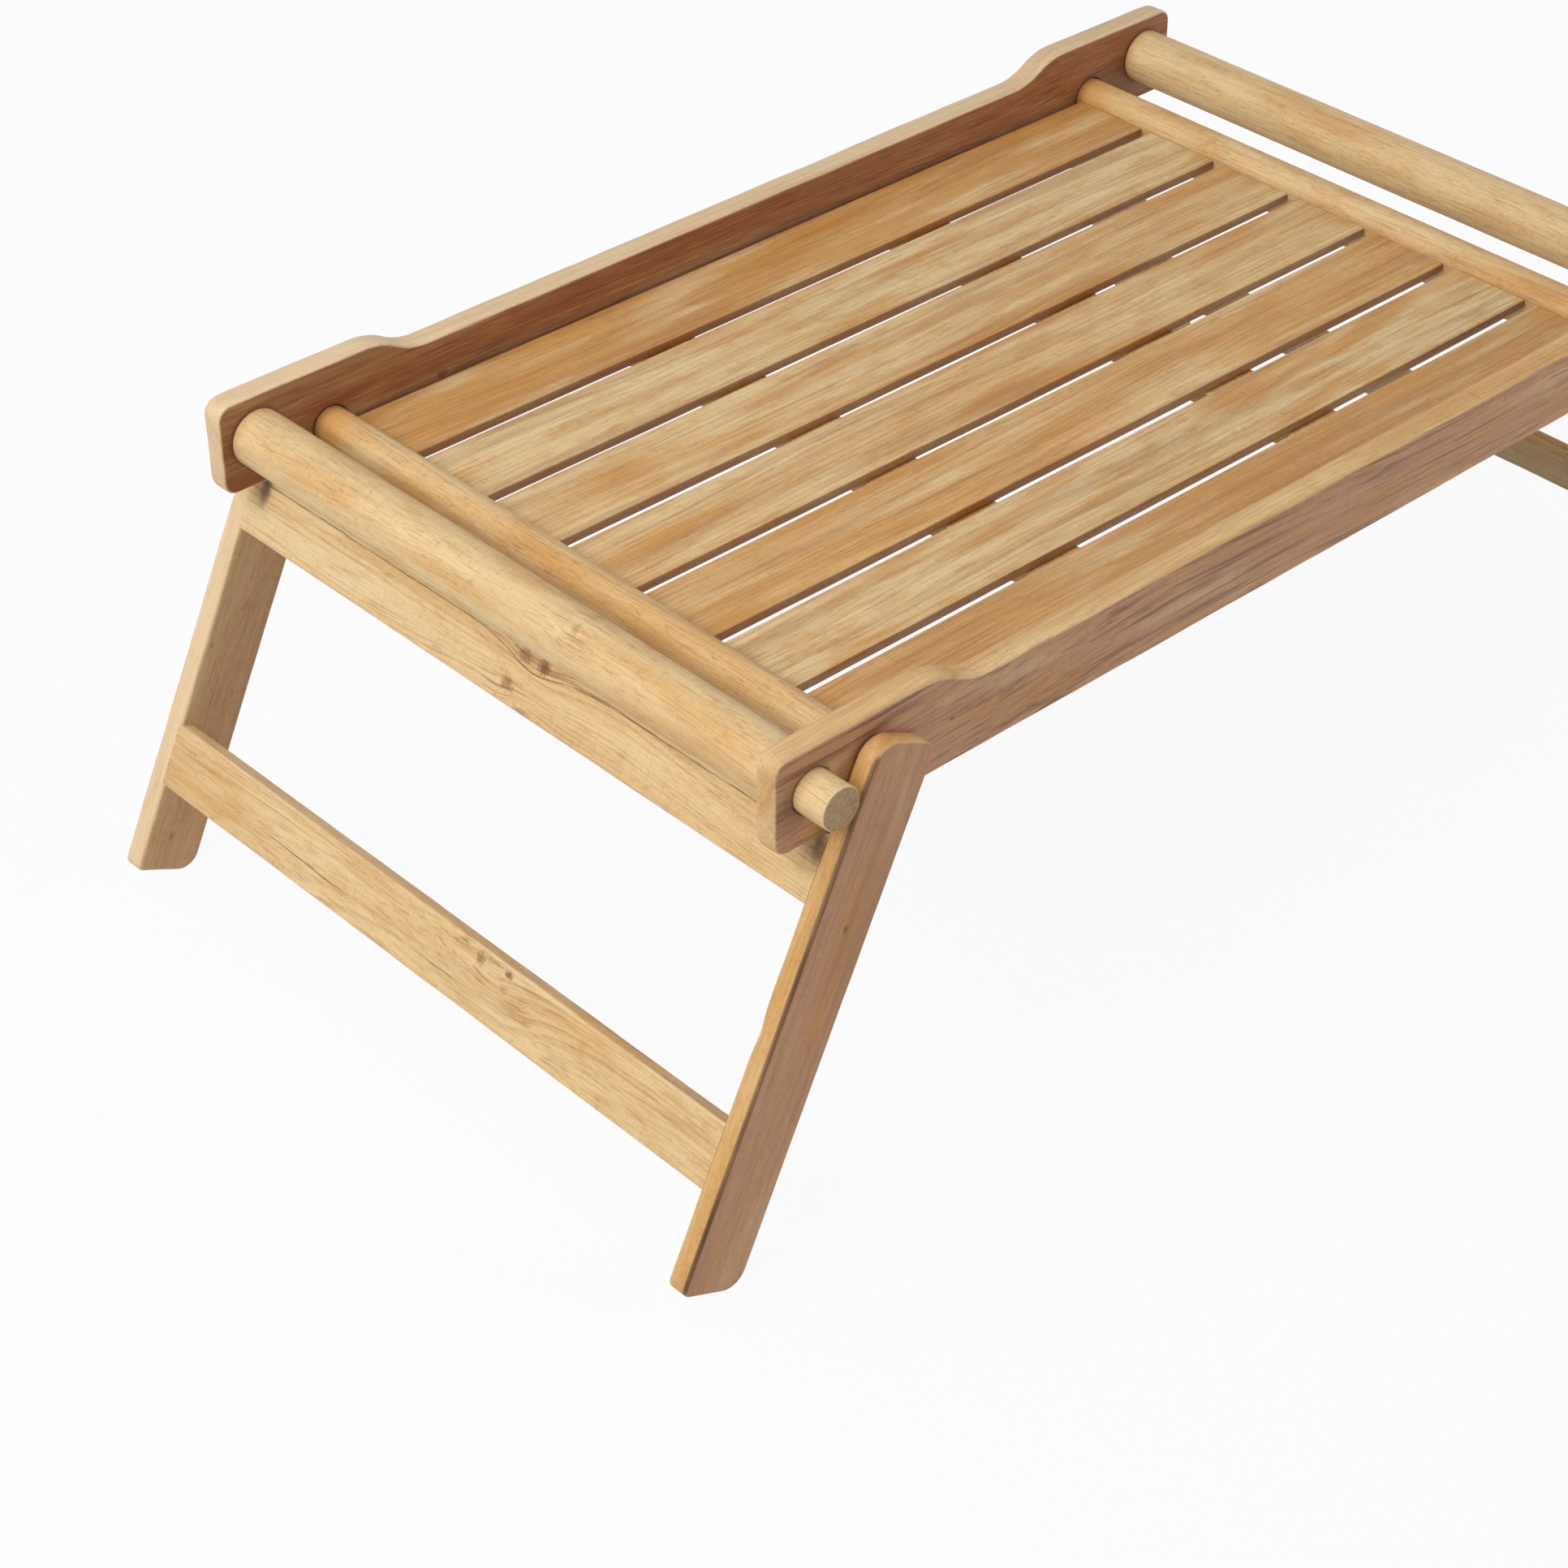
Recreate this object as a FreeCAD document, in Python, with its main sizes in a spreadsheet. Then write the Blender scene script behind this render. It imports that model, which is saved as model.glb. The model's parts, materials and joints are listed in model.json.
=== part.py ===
import FreeCAD, Part
import math
import os
import Sketcher

# A wooden bed tray on two folding leg frames, in millimetres.
# X runs along the tray, Y across it and Z up. The origin lies on the floor, at the middle of the
# footprint, with the legs splayed for use. "Left" is the -X end and "front" the -Y side.

DIMENSIONS = {
    # side rails
    "rail_length": 594,
    "rail_thickness": 13,
    "rail_low_height": 33.7,
    "rail_end_height": 43.4,
    "rail_shoulder": 78,
    "rail_step_length": 35,
    "rail_corner_radius": 7,
    "rail_edge_radius": 2.4,
    "tray_width": 360,
    # handle dowels, shouldered down where they run through the rails
    "handle_inset": 19,
    "handle_height": 23.4,
    "handle_diameter": 26.5,
    "handle_end_diameter": 19.2,
    "handle_end_reach": 16,
    "handle_end_round": 0.8,
    # axles that turn in the rails
    "axle_setback": 38.6,
    "axle_height": 13.5,
    "axle_diameter": 18,
    "axle_bore_clearance": 0.1,
    "axle_seat_depth": 7,
    "axle_end_chamfer": 0.8,
    # slats of the tray floor
    "slat_count": 7,
    "slat_thickness": 4.8,
    "slat_top_height": 14.2,
    "slat_gap": 6.5,
    "slat_side_gap": 2.9,
    "slat_end_gap": 0.6,
    "slat_edge_radius": 0.8,
    # two battens under the slats
    "batten_inset": 215.3,
    "batten_width": 30,
    "batten_thickness": 9,
    "board_edge_radius": 1.2,
    # screws driven up through the battens
    "screw_shank_diameter": 2.8,
    "screw_head_depth": 1.5,
    "screw_grip": 2.8,
    # leg frames
    "splay_angle": 25.6,
    "leg_thickness": 10,
    "leg_back": 10.6,
    "leg_top": 17,
    "leg_reach": 224,
    "leg_top_front_radius": 11,
    "leg_top_back_radius": 7,
    "foot_front_radius": 4,
    "foot_back_radius": 9,
    "leg_edge_radius": 1.6,
    "leg_rail_clearance": 0.5,
    "crossrail_height": 29.6,
    "crossrail_thickness": 8.2,
    "crossrail_drop": 95.2,
    "stop_clearance": 0.3,
    # joints in the wood
    "tenon_length": 6,
    "tenon_edge_shoulder": 4,
    "tenon_face_shoulder": 2,
    "mortise_glue_gap": 0.4,
}

doc = FreeCAD.newDocument("bed_tray_table")
sheet = doc.addObject("Spreadsheet::Sheet", "Sizes")


class Size:
    """A length or angle that keeps its number together with the sheet expression behind it."""

    def __init__(self, value, text):
        self.value = value
        self.text = text

    @staticmethod
    def of(other):
        return other if isinstance(other, Size) else Size(other, f"{other}")

    def __add__(self, other):
        other = Size.of(other)
        return Size(self.value + other.value, f"({self.text} + {other.text})")

    def __sub__(self, other):
        other = Size.of(other)
        return Size(self.value - other.value, f"({self.text} - {other.text})")

    def __mul__(self, other):
        other = Size.of(other)
        return Size(self.value * other.value, f"({self.text} * {other.text})")

    def __truediv__(self, other):
        other = Size.of(other)
        return Size(self.value / other.value, f"({self.text} / {other.text})")

    def __neg__(self):
        return Size(-self.value, f"(0 - {self.text})")

    def sine(self):
        return Size(math.sin(math.radians(self.value)), f"sin({self.text})")

    def cosine(self):
        return Size(math.cos(math.radians(self.value)), f"cos({self.text})")


def fill_sheet():
    """Put every driving dimension in the sheet and return it as a Size under its own name."""
    sizes = {}
    for row, (name, value) in enumerate(DIMENSIONS.items(), start=1):
        sheet.set(f"A{row}", name)
        sheet.set(f"B{row}", str(value))
        sheet.setAlias(f"B{row}", name)
        sizes[name] = Size(value, f"Sizes.{name}")
    doc.recompute()
    return sizes


S = fill_sheet()
ZERO = Size(0, "0")
FULL_TURN = 360
TOLERANCE = 0.01
SKETCH_ORIGIN = (-1, 1)


# ---------------------------------------------------------------- sketches and features

def new_body(name):
    body = doc.addObject("PartDesign::Body", name)
    body.Label = name
    return body


def bind(thing, path, size):
    """Tie one property of a document object to a sheet expression."""
    thing.setExpression(path, Size.of(size).text)


def sketch_on(body, role, name):
    plane = [part for part in body.Origin.OriginFeatures if part.Role == role][0]
    sketch = body.newObject("Sketcher::SketchObject", f"{body.Name}_{name}")
    sketch.AttachmentSupport = (plane, [""])
    sketch.MapMode = "FlatFace"
    return sketch


def fix(sketch, kind, *where, size):
    """Add one dimension to a sketch and bind it to the sheet."""
    index = sketch.addConstraint(Sketcher.Constraint(kind, *where, size.value))
    sketch.setExpression(f"Constraints[{index}]", size.text)


def fix_point(sketch, edge, end, point):
    fix(sketch, "DistanceX", *SKETCH_ORIGIN, edge, end, size=point[0])
    fix(sketch, "DistanceY", *SKETCH_ORIGIN, edge, end, size=point[1])


def arc_between(start, end, radius, turn):
    """Circular arc of less than a half turn; turn is +1 to the left and -1 to the right."""
    run, rise = end[0] - start[0], end[1] - start[1]
    chord = math.hypot(run, rise)
    height = math.sqrt(max(radius * radius - chord * chord / 4, 0))
    side = (-rise / chord * turn, run / chord * turn)
    centre = ((start[0] + end[0]) / 2 + side[0] * height, (start[1] + end[1]) / 2 + side[1] * height)
    first = math.atan2(start[1] - centre[1], start[0] - centre[0])
    last = math.atan2(end[1] - centre[1], end[0] - centre[0])
    circle = Part.Circle(FreeCAD.Vector(*centre, 0), FreeCAD.Vector(0, 0, 1), radius)
    if turn > 0:
        return Part.ArcOfCircle(circle, first, last), 1, 2
    return Part.ArcOfCircle(circle, last, first), 2, 1


def outline(sketch, corners):
    """Closed outline through corners of (x, y) or (x, y, radius, turn of the edge that follows)."""
    base = sketch.GeometryCount
    points = [corner[:2] for corner in corners]
    ends = []
    for index, corner in enumerate(corners):
        start = [size.value for size in points[index]]
        end = [size.value for size in points[(index + 1) % len(points)]]
        if len(corner) == 2:
            line = Part.LineSegment(FreeCAD.Vector(*start, 0), FreeCAD.Vector(*end, 0))
            sketch.addGeometry(line, False)
            ends.append((1, 2))
        else:
            arc, first, last = arc_between(start, end, corner[2].value, corner[3])
            sketch.addGeometry(arc, False)
            ends.append((first, last))
    for index in range(len(corners)):
        following = (index + 1) % len(corners)
        joint = Sketcher.Constraint("Coincident", base + index, ends[index][1],
                                    base + following, ends[following][0])
        sketch.addConstraint(joint)
    for index, corner in enumerate(corners):
        fix_point(sketch, base + index, ends[index][0], points[index])
        if len(corner) > 2:
            fix(sketch, "Radius", base + index, size=corner[2])


def rectangle(sketch, low, high):
    outline(sketch, [low, (high[0], low[1]), high, (low[0], high[1])])


def circle(sketch, centre, radius):
    at = FreeCAD.Vector(centre[0].value, centre[1].value, 0)
    index = sketch.addGeometry(Part.Circle(at, FreeCAD.Vector(0, 0, 1), radius.value), False)
    fix_point(sketch, index, 3, centre)
    fix(sketch, "Radius", index, size=radius)


def pad(body, sketch, length, reverse=False, symmetric=False):
    feature = body.newObject("PartDesign::Pad", f"{sketch.Name}_pad")
    feature.Profile = sketch
    feature.SideType = "Symmetric" if symmetric else "One side"
    feature.Reversed = reverse
    bind(feature, "Length", length)
    doc.recompute()
    return feature


def pocket(body, sketch, depth, reverse=False, symmetric=False):
    """Cut a sketch into its body, and make sure that the cut really took wood away."""
    before = body.Shape.Volume
    feature = body.newObject("PartDesign::Pocket", f"{sketch.Name}_pocket")
    feature.Profile = sketch
    feature.SideType = "Symmetric" if symmetric else "One side"
    feature.Reversed = reverse
    bind(feature, "Length", depth)
    doc.recompute()
    if body.Shape.Volume > before - TOLERANCE:
        raise RuntimeError(f"{feature.Name} cuts nothing")
    return feature


def dress(body, kind, base, edges, value):
    """Fillet or chamfer the edges of a feature that the test picks out."""
    names = [f"Edge{index}" for index, edge in enumerate(base.Shape.Edges, start=1) if edges(edge)]
    feature = body.newObject(f"PartDesign::{kind}", f"{body.Name}_{kind.lower()}")
    feature.Base = (base, names)
    bind(feature, "Radius" if kind == "Fillet" else "Size", value)
    doc.recompute()
    return feature


def runs_along(axis):
    """Edge test: a straight edge along the given axis."""
    def test(edge):
        if edge.Curve.TypeId != "Part::GeomLine":
            return False
        return edge.Curve.Direction.cross(axis).Length < TOLERANCE
    return test


def runs_off(axis):
    """Edge test: any edge that doesn't run along the given axis."""
    along = runs_along(axis)
    return lambda edge: not along(edge)


ALONG_X = FreeCAD.Vector(1, 0, 0)
ALONG_Y = FreeCAD.Vector(0, 1, 0)


def place(body, x, y, z, turn="rotation(vector(0; 0; 1); 0)"):
    """Bind a body's Placement: its position and, where given, its turn."""
    body.setExpression("Placement", f"placement(vector({x.text}; {y.text}; {z.text}); {turn})")


# ---------------------------------------------------------------- sizes that follow from others

half_rail = S["rail_length"] / 2
handle_x = half_rail - S["handle_inset"]
axle_x = handle_x - S["axle_setback"]
half_inside = S["tray_width"] / 2 - S["rail_thickness"]
axle_radius = S["axle_diameter"] / 2
leg_inner_y = S["tray_width"] / 2 + S["leg_rail_clearance"]

# The foot is cut square to the leg, so the tray stands on the round of its back corner.
foot_back = S["foot_back_radius"]
axle_z = (foot_back + (S["leg_back"] - foot_back) * S["splay_angle"].sine()
          + (S["leg_reach"] - foot_back) * S["splay_angle"].cosine())
rail_z = axle_z - S["axle_height"]

# Folded, the crossrails lie flat under the rails. Splayed, the upper one stops against them.
crossrail_back = S["axle_height"] + S["stop_clearance"]
leg_front = crossrail_back + S["crossrail_thickness"]
upper_crossrail_top = ((crossrail_back + leg_front * S["splay_angle"].sine())
                       / S["splay_angle"].cosine())
lower_crossrail_top = upper_crossrail_top + S["crossrail_height"] + S["crossrail_drop"]

slat_length = (axle_x - axle_radius - S["slat_end_gap"]) * 2
slat_row_width = (half_inside - S["slat_side_gap"]) * 2
slat_width = (slat_row_width + S["slat_gap"]) / S["slat_count"] - S["slat_gap"]
slat_z = rail_z + S["slat_top_height"] - S["slat_thickness"]
batten_x = half_rail - S["batten_inset"]
batten_top = S["slat_top_height"] - S["slat_thickness"]
batten_bottom = batten_top - S["batten_thickness"]
drill_reach = S["slat_top_height"]
shank_radius = S["screw_shank_diameter"] / 2
head_radius = shank_radius + S["screw_head_depth"]


def slat_y(number):
    """Middle of a slat across the tray; number 0 is the front one."""
    return (slat_width + S["slat_gap"]) * (number - (DIMENSIONS["slat_count"] - 1) / 2)


# ---------------------------------------------------------------- side rails

def rail_outline():
    """Straight bottom, low middle, and ends that rise through an S-curve of two equal arcs."""
    low, top, corner = S["rail_low_height"], S["rail_end_height"], S["rail_corner_radius"]
    shoulder = half_rail - S["rail_shoulder"]
    foot_of_step = shoulder - S["rail_step_length"]
    middle_of_step = shoulder - S["rail_step_length"] / 2
    rise, run = top - low, S["rail_step_length"]
    sweep = (rise * rise + run * run) / (rise * 4)
    mid_height = low + rise / 2
    return [
        (-(half_rail - corner), ZERO),
        (half_rail - corner, ZERO, corner, 1),
        (half_rail, corner),
        (half_rail, top - corner, corner, 1),
        (half_rail - corner, top),
        (shoulder, top, sweep, 1),
        (middle_of_step, mid_height, sweep, -1),
        (foot_of_step, low),
        (-foot_of_step, low, sweep, -1),
        (-middle_of_step, mid_height, sweep, 1),
        (-shoulder, top),
        (-(half_rail - corner), top, corner, 1),
        (-half_rail, top - corner),
        (-half_rail, corner, corner, 1),
    ]


def make_rail(name, side):
    """Side rail with its inner face on the body's XZ plane; side is -1 in front and +1 at the back."""
    body = new_body(name)
    profile = sketch_on(body, "XZ_Plane", "profile")
    outline(profile, rail_outline())
    board = pad(body, profile, S["rail_thickness"], reverse=side > 0)
    dress(body, "Fillet", board, runs_off(ALONG_Y), S["rail_edge_radius"])

    bores = sketch_on(body, "XZ_Plane", "bores")
    for end in (-1, 1):
        circle(bores, (handle_x * end, S["handle_height"]), S["handle_end_diameter"] / 2)
        circle(bores, (axle_x * end, S["axle_height"]), axle_radius + S["axle_bore_clearance"])
    pocket(body, bores, S["rail_thickness"], reverse=side < 0)

    mortises = sketch_on(body, "XZ_Plane", "mortises")
    for end in (-1, 1):
        half_tenon = S["batten_width"] / 2 - S["tenon_edge_shoulder"]
        low = (batten_x * end - half_tenon, batten_bottom + S["tenon_face_shoulder"])
        high = (batten_x * end + half_tenon, batten_top - S["tenon_face_shoulder"])
        rectangle(mortises, low, high)
    pocket(body, mortises, S["tenon_length"] + S["mortise_glue_gap"], reverse=side < 0)
    place(body, ZERO, half_inside * side, rail_z)
    return body


# ---------------------------------------------------------------- handles and axles

def make_handle(name, end):
    """Turned dowel: full size between the rails, smaller through them, rounded off at the tips."""
    body = new_body(name)
    grip, tip = S["handle_diameter"] / 2, S["handle_end_diameter"] / 2
    reach = S["tray_width"] / 2 + S["handle_end_reach"]
    ease = S["handle_end_round"]
    half = sketch_on(body, "XY_Plane", "half_section")
    outline(half, [
        (ZERO, -reach),
        (tip - ease, -reach, ease, 1),
        (tip, ease - reach),
        (tip, -half_inside),
        (grip, -half_inside),
        (grip, half_inside),
        (tip, half_inside),
        (tip, reach - ease, ease, 1),
        (tip - ease, reach),
        (ZERO, reach),
    ])
    turned = body.newObject("PartDesign::Revolution", f"{name}_turned")
    turned.Profile = half
    turned.ReferenceAxis = (half, ["V_Axis"])
    turned.Angle = FULL_TURN
    doc.recompute()
    place(body, handle_x * end, ZERO, rail_z + S["handle_height"])
    return body


def make_axle(name, end):
    """Plain dowel through both rails, glued into a blind socket in each leg."""
    body = new_body(name)
    section = sketch_on(body, "XZ_Plane", "section")
    circle(section, (ZERO, ZERO), axle_radius)
    dowel = pad(body, section, (leg_inner_y + S["axle_seat_depth"]) * 2, symmetric=True)
    dress(body, "Chamfer", dowel, runs_off(ALONG_Y), S["axle_end_chamfer"])
    place(body, axle_x * end, ZERO, axle_z)
    return body


# ---------------------------------------------------------------- slats, battens and screws

def make_slat(number):
    """Floor slat with softened edges and a blind pilot hole over each batten."""
    body = new_body(f"slat_{number + 1}")
    section = sketch_on(body, "YZ_Plane", "section")
    rectangle(section, (slat_width / -2, ZERO), (slat_width / 2, S["slat_thickness"]))
    board = pad(body, section, slat_length, symmetric=True)
    dress(body, "Fillet", board, runs_along(ALONG_X), S["slat_edge_radius"])
    pilots = sketch_on(body, "XY_Plane", "pilots")
    for end in (-1, 1):
        circle(pilots, (batten_x * end, ZERO), shank_radius)
    pocket(body, pilots, S["screw_grip"], reverse=True)
    place(body, ZERO, slat_y(number), slat_z)
    return body


def make_batten(name, end):
    """Cross board under the slats, tenoned into both rails, with a countersunk hole per slat."""
    body = new_body(name)
    half_width = S["batten_width"] / 2
    section = sketch_on(body, "XZ_Plane", "section")
    rectangle(section, (-half_width, batten_bottom), (half_width, batten_top))
    board = pad(body, section, half_inside * 2, symmetric=True)
    dress(body, "Fillet", board, runs_along(ALONG_Y), S["board_edge_radius"])

    tenon = sketch_on(body, "XZ_Plane", "tenon")
    half_tenon = half_width - S["tenon_edge_shoulder"]
    rectangle(tenon, (-half_tenon, batten_bottom + S["tenon_face_shoulder"]),
              (half_tenon, batten_top - S["tenon_face_shoulder"]))
    pad(body, tenon, (half_inside + S["tenon_length"]) * 2, symmetric=True)

    holes = sketch_on(body, "XY_Plane", "holes")
    for number in range(DIMENSIONS["slat_count"]):
        circle(holes, (ZERO, slat_y(number)), shank_radius)
    drilled = pocket(body, holes, drill_reach * 2, symmetric=True)

    def mouth(edge):
        low_end = abs(edge.BoundBox.ZMax - batten_bottom.value) < TOLERANCE
        return edge.Curve.TypeId == "Part::GeomCircle" and low_end

    dress(body, "Chamfer", drilled, mouth, S["screw_head_depth"])
    place(body, batten_x * end, ZERO, rail_z)
    return body


def make_screws(name):
    """One node of like wood screws, driven up through the battens into the slats."""
    screws = []
    for end in (-1, 1):
        for number in range(DIMENSIONS["slat_count"]):
            tag = f"screw_{'left' if end < 0 else 'right'}_{number + 1}"
            head = doc.addObject("Part::Cone", f"{tag}_head")
            bind(head, "Radius1", head_radius)
            bind(head, "Radius2", shank_radius)
            bind(head, "Height", S["screw_head_depth"])
            shank = doc.addObject("Part::Cylinder", f"{tag}_shank")
            bind(shank, "Radius", shank_radius)
            bind(shank, "Height", S["batten_thickness"] + S["screw_grip"])
            screw = doc.addObject("Part::MultiFuse", tag)
            screw.Shapes = [head, shank]
            place(screw, batten_x * end, slat_y(number), rail_z + batten_bottom)
            screws.append(screw)
    group = doc.addObject("Part::Compound", name)
    group.Label = name
    group.Links = screws
    doc.recompute()
    return group


# ---------------------------------------------------------------- leg frames

def leg_frame_turn(end):
    """Turn of a leg frame's own axes: Z up the leg and X towards the middle of the tray."""
    splay = f"rotation(vector(0; 1; 0); {S['splay_angle'].text})"
    return splay if end < 0 else f"rotation(vector(0; 0; 1); 180) * {splay}"


def place_in_frame(body, end, y=ZERO):
    place(body, axle_x * end, y, axle_z, leg_frame_turn(end))


def make_leg(name, end, side):
    """Leg outside the rail, round at the top and the foot, with its inner face on the XZ plane."""
    body = new_body(name)
    outward = side * -end
    back, front = S["leg_back"], -leg_front
    top, foot = S["leg_top"], -S["leg_reach"]
    nape, brow = S["leg_top_back_radius"], S["leg_top_front_radius"]
    toe = S["foot_front_radius"]
    profile = sketch_on(body, "XZ_Plane", "profile")
    outline(profile, [
        (front + toe, foot),
        (back - foot_back, foot, foot_back, 1),
        (back, foot + foot_back),
        (back, top - nape, nape, 1),
        (back - nape, top),
        (front + brow, top, brow, 1),
        (front, top - brow),
        (front, foot + toe, toe, 1),
    ])
    board = pad(body, profile, S["leg_thickness"], reverse=outward > 0)
    dress(body, "Fillet", board, runs_off(ALONG_Y), S["leg_edge_radius"])

    socket = sketch_on(body, "XZ_Plane", "axle_socket")
    circle(socket, (ZERO, ZERO), axle_radius)
    pocket(body, socket, S["axle_seat_depth"] + S["mortise_glue_gap"], reverse=outward < 0)

    mortises = sketch_on(body, "XZ_Plane", "mortises")
    for board_top in (upper_crossrail_top, lower_crossrail_top):
        low, high = crossrail_tenon(board_top)
        rectangle(mortises, low, high)
    pocket(body, mortises, S["tenon_length"] + S["mortise_glue_gap"], reverse=outward < 0)
    place_in_frame(body, end, leg_inner_y * side)
    return body


def crossrail_tenon(board_top):
    """Section of a crossrail's tenon in the leg frame's axes, as its low and high corners."""
    low = (S["tenon_face_shoulder"] - leg_front,
           S["tenon_edge_shoulder"] - board_top - S["crossrail_height"])
    high = (-crossrail_back - S["tenon_face_shoulder"], -board_top - S["tenon_edge_shoulder"])
    return low, high


def make_crossrail(name, end, board_top):
    """Board between two legs, flush with their front edges and tenoned into them."""
    body = new_body(name)
    section = sketch_on(body, "XZ_Plane", "section")
    rectangle(section, (-leg_front, -board_top - S["crossrail_height"]),
              (-crossrail_back, -board_top))
    board = pad(body, section, leg_inner_y * 2, symmetric=True)
    dress(body, "Fillet", board, runs_along(ALONG_Y), S["board_edge_radius"])
    tenon = sketch_on(body, "XZ_Plane", "tenon")
    rectangle(tenon, *crossrail_tenon(board_top))
    pad(body, tenon, (leg_inner_y + S["tenon_length"]) * 2, symmetric=True)
    place_in_frame(body, end)
    return body


# ---------------------------------------------------------------- the whole table

def make_parts():
    parts = [make_rail("rail_front", -1), make_rail("rail_back", 1)]
    for hand, end in (("left", -1), ("right", 1)):
        parts.append(make_handle(f"handle_{hand}", end))
        parts.append(make_batten(f"batten_{hand}", end))
    for number in range(DIMENSIONS["slat_count"]):
        parts.append(make_slat(number))
    parts.append(make_screws("slat_screws"))
    for hand, end in (("left", -1), ("right", 1)):
        parts.append(make_axle(f"axle_{hand}", end))
        parts.append(make_leg(f"leg_{hand}_front", end, -1))
        parts.append(make_leg(f"leg_{hand}_back", end, 1))
        parts.append(make_crossrail(f"crossrail_upper_{hand}", end, upper_crossrail_top))
        parts.append(make_crossrail(f"crossrail_lower_{hand}", end, lower_crossrail_top))
    return parts


def check(parts):
    """Stop on any failed object or empty shape before a file is written."""
    doc.recompute()
    for thing in doc.Objects:
        if "Invalid" in thing.State or "Error" in thing.State:
            raise RuntimeError(f"{thing.Name} failed: {thing.State}")
    for part in parts:
        if part.Shape.isNull() or not part.Shape.isValid():
            raise RuntimeError(f"{part.Label} has no valid shape")


parts = make_parts()
check(parts)
os.makedirs("parts", exist_ok=True)
for part in parts:
    part.Shape.exportStep(f"parts/{part.Label}.step")
    box = part.Shape.BoundBox
    print(f"{part.Label}: {len(part.Shape.Solids)} solid(s), {part.Shape.Volume:.1f} mm3, "
          f"x {box.XMin:.2f} to {box.XMax:.2f}, y {box.YMin:.2f} to {box.YMax:.2f}, "
          f"z {box.ZMin:.2f} to {box.ZMax:.2f}")
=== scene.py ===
import json
import math
from typing import NamedTuple

import bmesh
import bpy
from bpy.props import FloatProperty, FloatVectorProperty, IntProperty, PointerProperty
from mathutils import Euler, Matrix, Vector, noise

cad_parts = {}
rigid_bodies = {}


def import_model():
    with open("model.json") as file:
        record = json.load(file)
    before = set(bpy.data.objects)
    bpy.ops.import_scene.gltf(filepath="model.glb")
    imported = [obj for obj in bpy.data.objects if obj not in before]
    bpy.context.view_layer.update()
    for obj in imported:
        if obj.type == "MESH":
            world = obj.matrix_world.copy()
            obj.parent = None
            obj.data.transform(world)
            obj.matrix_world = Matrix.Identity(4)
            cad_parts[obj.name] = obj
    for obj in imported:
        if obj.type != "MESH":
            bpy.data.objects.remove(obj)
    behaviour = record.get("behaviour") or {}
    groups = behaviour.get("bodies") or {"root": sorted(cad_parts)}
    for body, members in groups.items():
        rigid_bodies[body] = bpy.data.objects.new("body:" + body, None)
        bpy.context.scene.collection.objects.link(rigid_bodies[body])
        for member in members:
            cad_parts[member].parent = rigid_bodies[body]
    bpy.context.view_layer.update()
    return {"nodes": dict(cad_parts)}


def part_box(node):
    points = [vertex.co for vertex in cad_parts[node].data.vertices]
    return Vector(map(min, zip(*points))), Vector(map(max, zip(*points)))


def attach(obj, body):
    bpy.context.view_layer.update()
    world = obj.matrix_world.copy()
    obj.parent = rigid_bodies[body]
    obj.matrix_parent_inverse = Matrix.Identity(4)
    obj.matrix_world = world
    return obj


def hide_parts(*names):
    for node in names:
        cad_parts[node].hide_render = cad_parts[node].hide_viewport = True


for leftover in list(bpy.data.objects):
    bpy.data.objects.remove(leftover)

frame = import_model()

bl_info = {
    "name": "Bed tray table",
    "version": (1, 0, 0),
    "blender": (4, 5, 0),
    "location": "3D View > Sidebar > Bed Tray",
    "description": "Dresses a wooden bed tray on two folding leg frames in solid-wood pieces",
    "category": "Object",
}

# Everything is in metres: X along the tray, Y across it, Z up. "Left" is the -X end and "front"
# the -Y side. MM turns a size in millimetres into metres.
MM = 0.001
ENDS = (("left", -1), ("right", 1))
SIDES = (("front", -1), ("back", 1))
ALONG_X = Vector((1, 0, 0))
ALONG_Y = Vector((0, 1, 0))
ALONG_Z = Vector((0, 0, 1))


def size_of(node):
    low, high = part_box(node)
    return high - low


def middle_of(node):
    low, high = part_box(node)
    return (low + high) / 2


def add_object(name, data):
    made = bpy.data.objects.new(name, data)
    bpy.context.scene.collection.objects.link(made)
    return made


def linear(red, green, blue):
    """Scene-linear colour of an sRGB colour given in bytes."""
    def channel(byte):
        share = byte / 255
        return share / 12.92 if share <= 0.04045 else ((share + 0.055) / 1.055) ** 2.4
    return channel(red), channel(green), channel(blue)


# ---------------------------------------------------------------- settings in the sidebar

def length(label, description, millimetres):
    return FloatProperty(name=label, description=description, default=millimetres * MM, min=0,
                         unit="LENGTH", precision=5)


def colour(label, description, red, green, blue):
    return FloatVectorProperty(name=label, description=description, size=3, subtype="COLOR",
                               min=0, max=1, default=linear(red, green, blue))


def share(label, description, value):
    return FloatProperty(name=label, description=description, default=value, min=0, max=1,
                         subtype="FACTOR")


class TrayRailSettings(bpy.types.PropertyGroup):
    shoulder: length("Shoulder", "From the rail's end to the top of its S-curve", 78)
    step: length("Step", "Length of the S-curve along the rail", 35)
    low_height: length("Low height", "Height of the rail between the S-curves", 33.7)
    corner: length("Corner radius", "Rounding of the rail's outline at its ends", 7)
    front_edge: length("Front edge", "Rounding over of the edges in front", 1.3)
    back_edge: length("Back edge", "Rounding over of the edges behind", 2.8)
    end_edge: length("End edge", "Rounding over of the edges behind, round the rails' ends", 5)
    bore_play: length("Bore play", "Room round an axle in its bore", 0.1)


class TrayDowelSettings(bpy.types.PropertyGroup):
    handle_end: length("Handle end", "Diameter of a handle where it runs through the rails", 19.2)
    tip: length("Tip", "Rounding at the ends of handles and axles", 0.8)
    back_reach: length("Back reach", "How far a handle stands out behind the back rail", 0.4)
    shoulder: length("Shoulder", "Rounding where a handle is turned down", 1)


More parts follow.
